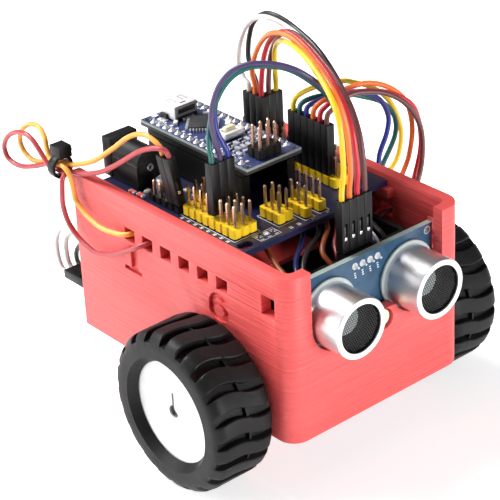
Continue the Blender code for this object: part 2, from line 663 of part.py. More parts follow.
def controller():
    span = (MCU_PINS - 1) * PITCH
    half = PITCH / 2
    ys = [MCU_MID_Y - span / 2 + PITCH * n for n in range(MCU_PINS)]
    for side, hand in ((-1, "near"), (1, "far")):
        x = MCU_X + side * MCU_ROW / 2
        socket = boxes("controller_socket_" + hand, [((x - half, ys[0] - half, ON_SHIELD),
                                                      (x + half, ys[-1] + half, SOCKET_TOP))])
        cut(socket, boxes("socket_slot_" + hand, [((x - 0.6, ys[0] - 0.6, SOCKET_TOP - 6.5),
                                                   (x + 0.6, ys[-1] + 0.6, SOCKET_TOP + 1))], TOOLS))
        paint(socket, (0.02, 0.02, 0.02), 0.5)
        strip_z = SOCKET_TOP + GAP
        strip = boxes("controller_pins_" + hand, [((x - half, ys[0] - half, strip_z),
                                                   (x + half, ys[-1] + half, strip_z + STRIP_H))])
        pin = PIN_W / 2
        legs = [((x - pin, y - pin, SOCKET_TOP - 5.5), (x + pin, y + pin, strip_z + 0.5)) for y in ys]
        weld(strip, boxes("controller_legs_" + hand, legs, TOOLS))
        paint(strip, (0.02, 0.02, 0.02), 0.5)
    board = boxes("controller_board", [((MCU_X - MCU_W / 2, MCU_Y0, MCU_Z0), (MCU_X + MCU_W / 2, MCU_Y1,
                                                                              MCU_Z1))])
    corner_x = MCU_W / 2 - 1.3
    corners = [(0.85, (MCU_X + sx * corner_x, y, MCU_Z0 - 1), (MCU_X + sx * corner_x, y, MCU_Z1 + 1))
               for sx in (-1, 1) for y in (MCU_Y0 + 1.3, MCU_Y1 - 1.3)]
    cut(board, rods("controller_holes", corners, TOOLS, sides=12))
    paint(board, (0.03, 0.08, 0.35), 0.35)
    usb_y1 = MCU_Y1 + USB_PROUD
    usb = boxes("usb_socket", [((MCU_X - USB_W / 2, usb_y1 - USB_L, ON_MCU),
                                (MCU_X + USB_W / 2, usb_y1, ON_MCU + USB_H))])
    cut(usb, boxes("usb_inside", [((MCU_X - USB_W / 2 + USB_WALL, usb_y1 - USB_L + 1, ON_MCU + USB_WALL),
                                   (MCU_X + USB_W / 2 - USB_WALL, usb_y1 + 1,
                                    ON_MCU + USB_H - USB_WALL))], TOOLS))
    paint(usb, (0.75, 0.75, 0.75), 0.3, 1.0)
    chip = boxes("microcontroller", [((-CHIP / 2, -CHIP / 2, 0), (CHIP / 2, CHIP / 2, CHIP_T))],
                 at=(MCU_X, MCU_MID_Y + 6.8, ON_MCU), turn=(0, 0, math.pi / 4))
    paint(chip, (0.05, 0.05, 0.055), 0.5)
    pin_header("programming_header", [MCU_X - PITCH + PITCH * n for n in range(3)], [MCU_Y0 + 2.4,
                                                                                     MCU_Y0 + 2.4 + PITCH],
               ON_MCU, HEADER_H, PIN_TALL, (0.02, 0.02, 0.02))
    reset_button(MCU_X + 0.4, MCU_MID_Y - 3.6)


def reset_button(x, y):
    body = boxes("reset_button_body", [((x - BUTTON_W / 2, y - BUTTON_D / 2, ON_MCU),
                                        (x + BUTTON_W / 2, y + BUTTON_D / 2, ON_MCU + BUTTON_H))])
    floor = ON_MCU + BUTTON_H - PLUNGER_TRAVEL - 2 * GAP
    cut(body, boxes("button_pocket", [((x - PLUNGER_W / 2 - GAP, y - PLUNGER_D / 2 - GAP, floor),
                                       (x + PLUNGER_W / 2 + GAP, y + PLUNGER_D / 2 + GAP,
                                        ON_MCU + BUTTON_H + 1))], TOOLS))
    paint(body, (0.8, 0.78, 0.72), 0.4)
    low = floor + PLUNGER_TRAVEL + GAP
    height = ON_MCU + BUTTON_H + PLUNGER_PROUD - low
    plunger = boxes("reset_button_plunger", [((-PLUNGER_W / 2, -PLUNGER_D / 2, 0), (PLUNGER_W / 2,
                                                                                    PLUNGER_D / 2, height))],
                    at=(x, y, low))
    paint(plunger, (0.75, 0.66, 0.45), 0.4)


def distance_sensor():
    half = SENSOR_BOARD_W / 2
    board = boxes("ultrasonic_board", [((-half, SENSOR_BOARD_Y, SENSOR_BOARD_TOP - SENSOR_BOARD_H),
                                        (half, SENSOR_BOARD_BACK, SENSOR_BOARD_TOP))])
    paint(board, (0.03, 0.15, 0.4), 0.35)
    base_y = SENSOR_BOARD_Y - GAP
    facing = (math.pi / 2, 0, 0)
    for side, hand in ((-1, "left"), (1, "right")):
        x = side * EYE_SPACING / 2
        floor = EYE_L - EYE_RECESS
        eye = turned("transducer_" + hand, [
            (EYE_R, EYE_L), (EYE_R, EYE_FLANGE_T), ((EYE_R + EYE_FLANGE_OVER),
                                                    EYE_FLANGE_T), ((EYE_R + EYE_FLANGE_OVER), 0), (0, 0),
            (0, floor), ((EYE_R - EYE_LIP), floor), ((EYE_R - EYE_LIP), EYE_L)], 28, at=(x, base_y,
                                                                                         EYE_Z), turn=facing)
        paint(eye, (0.8, 0.8, 0.82), 0.25, 1.0)
        mesh_y = base_y - floor - GAP
        grille = rods("mesh_" + hand, [((EYE_R - EYE_LIP) - GAP, (x, mesh_y, EYE_Z), (x, mesh_y - MESH_T,
                                                                                      EYE_Z))], sides=28)
        paint(grille, (0.05, 0.05, 0.05), 0.5)
    end = CRYSTAL_W / 2 - CRYSTAL_H / 2
    outline = arc(end, 0, CRYSTAL_H / 2, -90, 90, 8) + arc(-end, 0, CRYSTAL_H / 2, 90, 270, 8)
    crystal = plate("crystal", outline, 0, CRYSTAL_T)
    crystal.location = Vector((CRYSTAL_X, base_y - CRYSTAL_T / 2, CRYSTAL_Z)) * MM
    crystal.rotation_euler = facing
    paint(crystal, (0.8, 0.8, 0.75), 0.3, 1.0)
    xs = [PITCH * (n - 1.5) for n in range(4)]
    pin = PIN_W / 2
    block_z1 = SENSOR_BOARD_TOP
    block = boxes("ultrasonic_header", [((xs[0] - 1.2, SENSOR_BOARD_BACK + GAP, block_z1 - 3),
                                         (xs[-1] + 1.2, SENSOR_PIN_Y + 1.2, block_z1))])
    weld(block, boxes("ultrasonic_pins", [((x - pin, SENSOR_PIN_Y - pin, block_z1 - 1),
                                           (x + pin, SENSOR_PIN_Y + pin,
                                            block_z1 + PIN_TALL)) for x in xs], TOOLS))
    paint(block, (0.02, 0.02, 0.02), 0.5)
    plug("ultrasonic_plug", [(x, SENSOR_PIN_Y) for x in xs], block_z1 + GAP)


def shield_plugs():
    left, middle, right = FAR_ROWS
    half = PITCH / 2 - 0.02
    signal = [(left, column(1)), (middle, column(1)), (left, column(2)), (left, column(3)), (middle, column(3)),
              (right, column(3))]
    outline = [(left - half, column(3) - half), (right + half, column(3) - half), (right + half,
                                                                                   column(3) + half),
               (left + half, column(3) + half), (left + half, column(1) - half), (middle + half,
                                                                                  column(1) - half),
               (middle + half, column(1) + half), (left - half, column(1) + half)]
    plug("signal_plug", signal, PLUG_Z0, outline)
    plug("line_plug", [(left, column(n)) for n in range(8, 14)], PLUG_Z0)
    plug("near_plug", [(x, column(12)) for x in NEAR_ROWS], PLUG_Z0 + NEAR_PLUG_LIFT)
    z0 = ON_SHIELD + POWER_BASE_H + 2 * GAP
    middle_y = (power_y(3) + power_y(4)) / 2
    power = plug("power_plug", [(0, -PITCH / 2), (0, PITCH / 2)], 0, hole=(2.0, PLUG_HOLE))
    power.location = Vector((POWER_X, middle_y, z0)) * MM
    power.rotation_euler = (0, -POWER_LEAN, 0)
    rear = plug("rear_plug", [(x - DRIVER_PINS[1], 0) for x in DRIVER_PINS], 0)
    rear.location = Vector((DRIVER_PINS[1], REAR_PLUG_Y0, DRIVER_PIN_Z)) * MM
    rear.rotation_euler = (-math.pi / 2, 0, 0)


def smooth_route(route, step):
    """Points at an even step along a smooth curve through the route's own points, with straight end legs."""
    fine = []
    for n in range(1, len(route) - 2):
        before, start, end, after = route[n - 1:n + 3]
        for k in range(16):
            t = k / 16
            fine.append(0.5 * (2 * start + (end - before) * t + (2 * before - 5 * start + 4 * end - after) * t ** 2
                               + (3 * start - before - 3 * end + after) * t ** 3))
    fine.append(route[-2])
    lengths = [0.0]
    for here, there in zip(fine, fine[1:]):
        lengths.append(lengths[-1] + (there - here).length)
    count = max(4, round(lengths[-1] / step))
    even = [route[0]]
    place = 0
    for n in range(count + 1):
        want = lengths[-1] * n / count
        while place < len(fine) - 2 and lengths[place + 1] < want:
            place += 1
        part = (want - lengths[place]) / (lengths[place + 1] - lengths[place])
        even.append(fine[place].lerp(fine[place + 1], min(part, 1.0)))
    even.append(route[-1])
    return even


def wires(name, routes, colour, bond=None):
    """Round wires along their routes. A bond is the web that holds the wires of one ribbon together."""
    curve = bpy.data.curves.new(name, 'CURVE')
    curve.dimensions = '3D'
    curve.bevel_depth = WIRE_R * MM
    curve.bevel_resolution = 2
    curve.use_fill_caps = True
    for route in routes:
        points = smooth_route([Vector(point) for point in route], WIRE_STEP)
        line = curve.splines.new('POLY')
        line.points.add(len(points) - 1)
        for point, place in zip(line.points, points):
            point.co = (*(place * MM), 1.0)
    thing = to_mesh_object(new_object(name, curve, PARTS), PARTS)
    if bond:
        weld(thing, rods(name + "_bond", [(BOND_R, *bond)], TOOLS, sides=8))
    thing.data.shade_smooth()
    paint(thing, colour, 0.4)


def ultrasonic_wires():
    left, middle, right = FAR_ROWS
    start = PLUG_TOP + GAP
    end = SENSOR_BOARD_TOP + GAP + PLUG_H + GAP
    y = SENSOR_PIN_Y
    xs = [PITCH * (n - 1.5) for n in range(4)]
    yellow = [(right, column(3), start), (right, column(3), start + 2), (18.9, 18.4, 90), (14.4, 9, 95.2),
              (5.2, -11.1, 96.7), (-1.6, -24.2, 94.6), (-4.6, -30.6, 87.8), (-4.4, -31.4, 78.5),
              (xs[0], y, end + 2), (xs[0], y, end)]
    orange = [(left, column(2), start), (left, column(2), start + 2), (14.0, 21.5, 88.1), (12.0, 14.7, 95.6),
              (9.0, 6.2, 99.6), (6.2, -3.8, 99.6), (2.3, -17.1, 97.6), (-0.3, -26.4, 92.8), (-1.4, -30.3, 85.2),
              (xs[1], y, end + 2), (xs[1], y, end)]
    red = [(left, column(3), start), (left, column(3), start + 2), (14.2, 18.5, 86.7), (13.0, 12.6, 94.0),
           (11.0, 5.2, 100.6), (8.3, -4.5, 101.6), (4.9, -17.5, 98.9), (2.8, -25.5, 92.9), (1.5, -29.9, 84.1),
           (xs[2], y, end + 2), (xs[2], y, end)]
    brown = [(middle, column(3), start), (middle, column(3), start + 2), (16.2, 16.6, 90.0), (14.2, 8.5, 94.8),
             (12.3, 0.0, 97.8), (10.7, -7.0, 99.4), (7.6, -17.6, 97.2), (5.4, -25.2, 92.2), (4.4, -29.2, 85.1),
             (xs[3], y, end + 2), (xs[3], y, end)]
    wires("wires_ultrasonic", [yellow, orange, red, brown], (0.85, 0.3, 0.05),
          bond=((xs[0], y, end + 1.2), (xs[3], y, end + 1.2)))


def aux_wires():
    left, middle, _ = FAR_ROWS
    start = PLUG_TOP + GAP
    y = column(1)
    black = [(middle, y, start), (middle, y, start + 2), (16.9, 26.2, 85.9), (17.1, 27.2, 90.9), (16.8, 24.3,
                                                                                                  96.9),
             (16.2, 18.4, 101.0), (15.6, 10.2, 102.2), (15.2, 3.1, 101.2), (15.2, -2.5, 98.6), (15.0, -7.5,
                                                                                                95.0),
             (14.6, -12.8, 89.5), (13.8, -17.2, 82.5), (13.0, -20.6, 73), (12.4, -22, 62), (12.2, -22.4, 57),
             (12.2, -22.4, 55.5)]
    white = [(left, y, start), (left, y, start + 2), (14.4, 26.8, 83), (14.5, 27.6, 88), (14.1, 24.2, 95.7),
             (13.4, 16, 100.8), (12.6, 7.1, 102.6), (12.9, 1.5, 101.4), (13.4, -4, 98.0), (13.0, -9, 93.8),
             (11.9, -14.5, 87.3), (10.8, -19.2, 78), (10.0, -21.6, 68), (9.6, -22.6, 57), (9.6, -22.6, 55.5)]
    wires("wires_aux", [black, white], (0.1, 0.1, 0.1), bond=((left, y, start + 1.2), (middle, y, start + 1.2)))


def near_wires():
    start = PLUG_Z0 + NEAR_PLUG_LIFT + PLUG_H + GAP
    y = column(12)
    outer, middle, inner = NEAR_ROWS
    purple = [(middle, y, start), (middle, y, start + 2), (-20.3, -2.7, 87.2), (-20.3, -2.8, 93.3),
              (-18.6, -4.2, 98.1), (-15.5, -6.7, 102.1), (-12.1, -9.5, 103.1), (-8.6, -12.3, 102.6),
              (-4.4, -15.9, 99.8), (-1.3, -18.4, 95.2), (1.3, -20.6, 91.4), (5.6, -23.6, 82.5), (6.2, -24.8,
                                                                                                 74),
              (4.6, -25.4, 66), (-2.0, -26.4, 59.5), (-8.8, -29.2, 55.8), (-10.5, -30.5, 50), (-11, -30.6, 45)]
    green = [(outer, y, start), (outer, y, start + 2), (-22.4, -3.1, 86.0), (-20.6, -5.0, 93.3), (-17.6,
                                                                                                  -7.3, 98.8),
             (-13.4, -10.6, 101.2), (-9.6, -13.6, 100.4), (-5.4, -17.1, 98.0), (-2.4, -19.9, 94.2),
             (0.0, -21.8, 90.6), (3.4, -24.8, 82), (4.0, -26.2, 74), (2.0, -27.0, 66), (-5, -27.8, 59.5),
             (-11.3, -29.9, 55.4), (-13, -30.6, 50), (-13.5, -30.6, 45)]
    blue = [(inner, y, start), (inner, y, start + 2), (-18.0, -2.2, 86), (-17.4, -2.8, 94.6), (-15.3, -4.7,
                                                                                               98.8),
            (-11.5, -7.7, 100.7), (-8.0, -10.4, 100.2), (-3.6, -14.0, 98.0), (-0.2, -16.8, 93.8),
            (2.6, -19.2, 90.0), (7.2, -21.8, 82), (8.0, -23.2, 74), (7.0, -23.8, 66), (1, -24.8, 59.8),
            (-6.5, -28.8, 56.0), (-8, -30.4, 50), (-8.6, -30.6, 45)]
    wires("wires_near", [purple, green, blue], (0.25, 0.1, 0.4), bond=((outer, y, start + 1.2), (inner, y,
                                                                                                 start + 1.2)))


def line_wires():
    x = FAR_ROWS[0]
    start = PLUG_TOP + GAP
    lifts = [(x, column(n), start) for n in range(8, 14)]
    rises = [(x, column(n), start + 1.6) for n in range(8, 14)]
    yellow = [(15.7, 6.2, 81.2), (20.3, 5.0, 82.3), (27.5, 3.2, 82.2), (31.2, 2.3, 81.0), (37.2, 0.8, 77.8),
              (41.9, -0.4, 72.7), (44.5, -1.0, 66.5), (45.0, -1.2, 61.0), (43.1, -0.7, 54.5), (37, 0.4, 50.6)]
    green = [(16.4, 3.4, 80.6), (20.9, 2.3, 80.6), (27.0, 0.8, 79.5), (32.9, -0.7, 77.1), (37.5, -1.8, 74.5),
             (41.0, -2.7, 69.9), (41.3, -2.8, 64.3), (38.2, -2.0, 57.7), (35, -1.4, 52.8)]
    blue = [(16.4, 1.0, 80.4), (21.5, -0.4, 81.0), (29.0, -2.2, 80.4), (34.6, -3.7, 77.0), (37.3, -4.3, 71.7),
            (36.9, -4.2, 66.8), (34.6, -3.6, 60.6), (33.4, -4.5, 55)]
    orange = [(15.6, -1.6, 81.2), (18.3, -2.4, 82.2), (23.7, -3.6, 83.5), (30.0, -5.2, 83.4), (36.0, -6.7,
                                                                                               80.5),
              (40.6, -7.8, 75.4), (42.3, -8.2, 68.0), (41.4, -8.0, 60.4), (39.5, -7.6, 55.6), (35.5, -8.0,
                                                                                               51.8)]
    red = [(15.4, -4.0, 81.0), (18.6, -4.9, 82.6), (25.0, -6.4, 83.0), (33.0, -8.3, 80.8), (39.5, -9.9, 76.4),
           (42.1, -10.6, 71.2), (42.9, -10.8, 63.4), (41.1, -10.6, 55.8), (36.5, -12.3, 51.4)]
    brown = [(15.4, -6.5, 81.0), (20.1, -7.6, 83.7), (25.2, -8.9, 83.6), (31.4, -10.5, 81.5), (36.9, -11.9,
                                                                                               77.0),
             (40.6, -12.9, 70.1), (41.2, -13.1, 62.4), (40.0, -13.0, 55.8), (35.5, -14.6, 51.8)]
    ways = [yellow, green, blue, orange, red, brown]
    wall = BODY_W / 2
    exits = [hole_y(3) + 1, hole_y(3) - 1, hole_y(4) + 1, hole_y(4) - 1, hole_y(5) + 1, hole_y(5) - 1]
    routes = []
    for lift, rise, way, y in zip(lifts, rises, ways, exits):
        routes.append([lift, rise, *way, (wall + 1.4, y, HOLE_Z), (INNER_X, y, HOLE_Z), (INNER_X - 2.8, y,
                                                                                         HOLE_Z)])
    wires("wires_line", routes, (0.8, 0.6, 0.05), bond=(rises[0], rises[-1]))


def power_wires():
    """Two wires from the power plug through the tie, round a free loop, back through the tie and into the tub."""
    lean = Vector((-math.sin(POWER_LEAN), 0, math.cos(POWER_LEAN)))
    foot = Vector((POWER_X, (power_y(3) + power_y(4)) / 2, ON_SHIELD + POWER_BASE_H + 2 * GAP))
    wall = -BODY_W / 2
    tie = Vector(tie_place())
    spread = 0.95
    starts = []
    for side in (-1, 1):
        top = foot + lean * (PLUG_H + GAP) + Vector((0, side * PITCH / 2, 0))
        starts.append([top, top + lean * 1.2])

    def through(side_x, side_z, ways):
        return [tie + Vector((side_x * spread, way * 2.6, side_z * spread)) for way in ways]

    red = [*starts[0], (-26.1, 10.0, 78.7), (-27.1, 11.8, 78.8), (-27.6, 15.0, 77.6),
           (-27.6, 19.4, 75.3), (-28.1, 27.3, 69.6),
           (-28.8, 34.0, 65.4), (-29.8, 41.0, 62.8), *through(1, -1, (-1, 1)), (-30.4, 56.5, 60.6),
           (-30.8, 62.0, 58.2), (-31.2, 68.5, 56.2), (-31.6, 73.4, 56.9), (-31.8, 74.6, 60.4), (-32.0, 71.2,
                                                                                                64.8),
           (-32.3, 65.0, 67.8), (-32.4, 59.4, 67.6), *through(-1, -1, (1.6, 1, -1)), (-33.4, 45.4, 60.6),
           (-33.7, 45.6, 56.6), (-33.0, 46.8, 52.6), (-32.4, 46.2, 48.0), (-32.0, 43.0, 44.4), (-31.8, 38.3,
                                                                                                42.6),
           (-31.6, 34.8, 42.2), (-31.6, 27.5, 44.8), (-31.6, 20.5, 48.6),
           (wall - 1.2, hole_y(1) + 1.6, HOLE_Z - 0.5), (-INNER_X, hole_y(1), HOLE_Z),
           (-INNER_X + 2.8, hole_y(1), HOLE_Z)]
    orange = [*starts[1], (-25.5, 14.4, 79.7), (-25.9, 18.6, 80.2), (-26.2, 24.2, 77.6), (-27.0, 30.6, 72.4),
              (-28.4, 37.2, 67.4), (-29.6, 43.0, 64.8), *through(1, 1, (-1, 1)), (-29.6, 56.0, 62.6),
              (-29.2, 61.0, 61.0), (-29.2, 66.0, 61.2), (-29.4, 68.6, 63.8), (-29.6, 67.4, 67.8), (-29.8,
                                                                                                   62.0, 71.0),
              (-30.4, 57.0, 70.0), (-31.6, 54.6, 66.6), *through(-1, 1, (1, -1)), (-32.0, 44.0,
                                                                                   62.4), (-31.8, 43.0, 58.8),
              (-31.6, 42.6, 55.2), (-31.6, 38.4, 52.4), (-31.6, 32.5, 50.8),
              (wall - 1.5, hole_y(0) + 4.5, HOLE_Z - 0.4), (wall - 0.4, hole_y(0) + 0.9, HOLE_Z),
              (-INNER_X, hole_y(0), HOLE_Z), (-INNER_X + 2.8, hole_y(0), HOLE_Z)]
    wires("wire_power_red", [red], (0.75, 0.1, 0.1))
    wires("wire_power_orange", [orange], (0.9, 0.5, 0.15))


def tie_place():
    """Middle of the cable tie, behind and above the left rear corner of the tub."""
    return -BODY_W / 2 - 1.5, REAR_Y + 2.0, BODY_Z1 + 1.4


def cable_tie():
    x, y, z = tie_place()
    bore = TIE_BORE_R
    rim = bore + TIE_T
    half = TIE_W / 2
    strap = turned("cable_tie", [(bore, half), (rim, half), (rim, -half), (bore, -half)], 20,
                   at=(x, y, z), turn=(math.pi / 2, 0, 0))
    weld(strap, boxes("tie_head", [((x - 1.4, y - 2.2, z + bore + 0.15), (x + 2.6, y + 2.2,
                                                                          z + bore + 3.4))], TOOLS))
    weld(strap, boxes("tie_tail", [((x + 2, y - half, z + bore + 1.2), (x + 3.4, y + half, z + bore + 2.1))],
                      TOOLS))
    paint(strap, (0.02, 0.02, 0.02), 0.5)


def rear_wires():
    start = REAR_PLUG_Y0 + PLUG_H + GAP
    outer, middle, inner = DRIVER_PINS
    z = DRIVER_PIN_Z
    first = [(outer, start, z), (outer, start + 1.8, z), (outer, start + 3.6, z + 3), (outer, start + 3.8,
                                                                                       z + 8.5),
             (outer, start + 1.0, z + 13.2), (outer, start - 5, z + 15.6), (outer + 0.8, start - 11, z + 14.6),
             (-24.4, 41, 36.5), (-24.4, 36, 34)]
    second = [(middle, start, z), (middle, start + 1.8, z), (middle, start + 3.2, z + 3.5),
              (middle, start + 2.4, z + 8.8), (middle, start - 2, z + 12.6), (middle, start - 8, z + 13.4),
              (-22.6, 45, 36.8), (-22.4, 38, 34)]
    third = [(inner, start, z), (inner, start + 1.6, z), (inner, start + 2.2, z + 3), (inner, start, z + 6.4),
             (inner, start - 5, z + 9.2), (inner - 0.6, start - 11, z + 10.4), (-22.0, 43.5, 34.2), (-21.9,
                                                                                                     38, 31.6)]
    wires("wires_rear", [first, second, third], (0.8, 0.8, 0.8),
          bond=((outer, start + 1.2, z), (inner, start + 1.2, z)))


chassis()
for label, direction in (("left", -1), ("right", 1)):
    wheel(label, direction)
    gear_motor(label, direction)
    motor_clamp(label, direction)
    line_sensor(label, direction)
caster()
battery()
motor_driver()
shield()
power_jack()
controller()
distance_sensor()
shield_plugs()
ultrasonic_wires()
aux_wires()
near_wires()
line_wires()
power_wires()
cable_tie()
rear_wires()
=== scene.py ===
"""Looks of the line follower robot, laid out as an add-on with one operator for each group of pieces.

Sizes and colours are scene properties. Numbers in the functions are millimetres unless they say otherwise.
"""

import math
from contextlib import contextmanager

import bpy
from bpy.props import FloatProperty, FloatVectorProperty, IntProperty, PointerProperty
from mathutils import Matrix, Vector


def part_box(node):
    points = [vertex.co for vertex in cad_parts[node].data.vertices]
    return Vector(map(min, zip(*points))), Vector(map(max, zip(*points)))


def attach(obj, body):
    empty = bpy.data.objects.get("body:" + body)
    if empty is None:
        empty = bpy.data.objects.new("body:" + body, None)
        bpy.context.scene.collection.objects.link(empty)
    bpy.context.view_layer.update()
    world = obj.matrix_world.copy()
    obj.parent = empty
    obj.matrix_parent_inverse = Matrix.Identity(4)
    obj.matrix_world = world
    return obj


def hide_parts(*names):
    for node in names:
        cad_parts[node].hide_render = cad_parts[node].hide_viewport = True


bl_info = {
    "name": "Line follower robot",
    "version": (1, 0, 0),
    "blender": (4, 5, 0),
    "location": "View3D > Sidebar > Robot",
    "description": "Builds the looks of a small line follower robot round its CAD frame",
    "category": "Object",
}

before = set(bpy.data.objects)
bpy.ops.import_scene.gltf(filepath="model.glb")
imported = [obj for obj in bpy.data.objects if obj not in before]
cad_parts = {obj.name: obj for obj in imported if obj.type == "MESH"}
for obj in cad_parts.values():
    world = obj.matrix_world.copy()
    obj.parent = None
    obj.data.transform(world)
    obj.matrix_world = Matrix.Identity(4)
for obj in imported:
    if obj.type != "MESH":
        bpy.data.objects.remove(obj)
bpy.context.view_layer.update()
MM = 0.001


def length(name, default_mm, description):
    """A length property, given in millimetres."""
    default = default_mm * MM
    return FloatProperty(name=name, description=description, default=default, unit="LENGTH", precision=5)


def colour(name, default, description):
    """A colour property in linear light."""
    kind = {"subtype": "COLOR", "min": 0, "max": 1}
    return FloatVectorProperty(name=name, description=description, default=default, **kind)


def wire_colour(word, default):
    """The colour property of a kind of jumper wire."""
    return colour(f"{word} wire", default, f"{word} jumper wires")


class RobotSizes(bpy.types.PropertyGroup):
    """Sizes that drive the pieces"""

    edge: length("Edge", 0.3, "Rounding of the printed edges")
    number_depth: length("Number depth", 0.9, "Depth of the numbers in the side wall")
    layer: length("Layer", 0.32, "Height of one printed layer")
    groove_width: length("Groove width", 2.5, "Width of a tread groove")
    groove_depth: length("Groove depth", 2.1, "Depth of a tread groove")
    lug_count: IntProperty(name="Lugs", description="Lugs round one tyre", default=20, min=6, max=40)
    mesh_pitch: length("Mesh pitch", 0.72, "Distance between the holes of the mesh")
    mesh_wire: length("Mesh wire", 0.2, "Thickness of the mesh between two holes")
    pin_width: length("Pin width", 0.6, "Width of a square pin")
    pitch: length("Pitch", 2.54, "Distance between two pins")
    plug_width: length("Plug width", 2.5, "Width of one plug housing")
    plug_height: length("Plug height", 14.0, "Height of one plug housing")
    wire_radius: length("Wire radius", 0.7, "Radius of a jumper wire with its insulation")
    into_plug: length("Into plug", 1.6, "How far a wire reaches into its plug")


class RobotColours(bpy.types.PropertyGroup):
    """Colours of the finishes, in linear light"""

    red: colour("Red print", (0.84, 0.085, 0.082), "Tub, cover and clamps")
    rubber: colour("Rubber", (0.007, 0.007, 0.0075), "Tyres")
    white: colour("White plastic", (0.88, 0.88, 0.87), "Rims and button")
    black: colour("Black plastic", (0.005, 0.005, 0.0055), "Plugs, sockets and jack")
    yellow: colour("Yellow plastic", (0.92, 0.62, 0.012), "Pin headers")
    cream: colour("Cream", (0.78, 0.71, 0.50), "Plunger and crystal")
    navy: colour("Navy board", (0.007, 0.009, 0.045), "Shield board")
    blue: colour("Blue board", (0.030, 0.042, 0.130), "Controller board")
    sensor_blue: colour("Sensor board", (0.018, 0.066, 0.130), "Distance sensor board")
    board_edge: colour("Board edge", (0.34, 0.41, 0.38), "Cut edge of a board")
    ink: colour("Board print", (0.82, 0.82, 0.84), "White lines printed on the boards")
    steel: colour("Steel", (0.74, 0.74, 0.75), "Shell, ball and shafts")
    can: colour("Aluminium", (0.72, 0.72, 0.74), "Cans of the distance sensor and the capacitor")
    pin: colour("Pins", (0.56, 0.41, 0.30), "Header pins")
    solder: colour("Solder", (0.82, 0.83, 0.86), "Solder joints")
    net: colour("Mesh", (0.09, 0.09, 0.09), "Wire of the sensor mesh")
    gearbox: colour("Gearbox", (0.62, 0.60, 0.55), "Gear motors")
    cell: colour("Cell wrap", (0.012, 0.016, 0.035), "Battery cells")
    ring: colour("Base ring", (0.50, 0.56, 0.56), "Plastic ring under each can")
    wire_yellow: wire_colour("Yellow", (0.83, 0.56, 0.02))
    wire_orange: wire_colour("Orange", (0.87, 0.19, 0.03))
    wire_red: wire_colour("Red", (0.56, 0.02, 0.03))
    wire_brown: wire_colour("Brown", (0.13, 0.035, 0.035))
    wire_green: wire_colour("Green", (0.003, 0.110, 0.098))
    wire_blue: wire_colour("Blue", (0.012, 0.025, 0.25))
    wire_purple: wire_colour("Purple", (0.065, 0.042, 0.125))
    wire_black: wire_colour("Black", (0.010, 0.010, 0.011))
    wire_white: wire_colour("White", (0.80, 0.80, 0.80))
    wire_grey: wire_colour("Grey", (0.12, 0.12, 0.125))
    power_red: colour("Power red", (0.45, 0.05, 0.06), "Red power wire")
    power_orange: colour("Power orange", (0.93, 0.42, 0.07), "Orange power wire")
    # Near white and only a little metallic: bright metal with painted highlight, used on the socket shell,
    # the sensor's solder joints and one small part on the controller
    shell: colour("Socket shell", (0.92, 0.92, 0.92), "Shell of the USB socket")
    chip: colour("Chip", (0.035, 0.035, 0.038), "Body of the controller chip")
    floor: colour("Floor", (0.92, 0.92, 0.92), "Floor")


def sizes():
    """The size properties."""
    return bpy.context.scene.robot_sizes


class Value:
    """A shader socket that can be used in sums and products."""

    def __init__(self, finish, socket):
        self.finish = finish
        self.socket = socket

    def math(self, operation, other):
        return self.finish.node("ShaderNodeMath", {"operation": operation}, {0: self, 1: other})

    def __add__(self, other):
        return self.math("ADD", other)

    def __mul__(self, other):
        return self.math("MULTIPLY", other)

    __radd__ = __add__
    __rmul__ = __mul__


class Finish:
    """One procedural material, made node by node."""

    def __init__(self, name):
        self.material = bpy.data.materials.new(name)
        self.material.use_nodes = True
        self.tree = self.material.node_tree
        self.shader = self.tree.nodes["Principled BSDF"]

    def feed(self, socket, value):
        if isinstance(value, Value):
            self.tree.links.new(value.socket, socket)
        else:
            socket.default_value = value

    def node(self, kind, settings, inputs, out=0):
        made = self.tree.nodes.new(kind)
        for key, value in settings.items():
            setattr(made, key, value)
        for key, value in inputs.items():
            self.feed(made.inputs[key], value)
        return Value(self, made.outputs[out])

    def place(self, per_metre):
        """The place in the object, scaled alike or by three numbers along X, Y and Z."""
        scale = per_metre if isinstance(per_metre, tuple) else (per_metre,) * 3
        here = self.node("ShaderNodeTexCoord", {}, {}, out="Object")
        return self.node("ShaderNodeMapping", {"vector_type": "POINT"}, {"Vector": here, "Scale": scale})

    def noise(self, per_metre, detail=3.0):
        """Noise of so many waves per metre."""
        inputs = {"Vector": self.place(per_metre), "Scale": 1.0, "Detail": detail}
        return self.node("ShaderNodeTexNoise", {}, inputs)

    def mix(self, factor, first, second):
        """A colour between two."""
        inputs = {0: factor, 6: opaque(first), 7: opaque(second)}
        return self.node("ShaderNodeMix", {"data_type": "RGBA"}, inputs, out=2)

    def spread(self, value, low, high):
        """Stretches the part of a noise between low and high over 0 to 1."""
        return self.node("ShaderNodeMapRange", {}, {"Value": value, "From Min": low, "From Max": high})

    def bump(self, height, depth, strength=1.0):
        return self.node("ShaderNodeBump", {}, {"Height": height, "Distance": depth, "Strength": strength})

    def surface(self, **values):
        """Sets sockets of the shader: base_color means Base Color."""
        for key, value in values.items():
            self.feed(self.shader.inputs[key.replace("_", " ").title().replace("Ior", "IOR")], value)
        return self.material


def opaque(value):
    """A colour with its alpha, or a socket as it is."""
    return value if isinstance(value, Value) else (*tuple(value)[:3], 1.0)


def shade(value, factor):
    """A colour made darker or lighter."""
    return tuple(min(1.0, part * factor) for part in value)


FINISHES = {}


def finish_of(key):
    """The material with this name, made when it is first asked for."""
    if key not in FINISHES:
        FINISHES[key] = make_finish(key)
    return FINISHES[key]


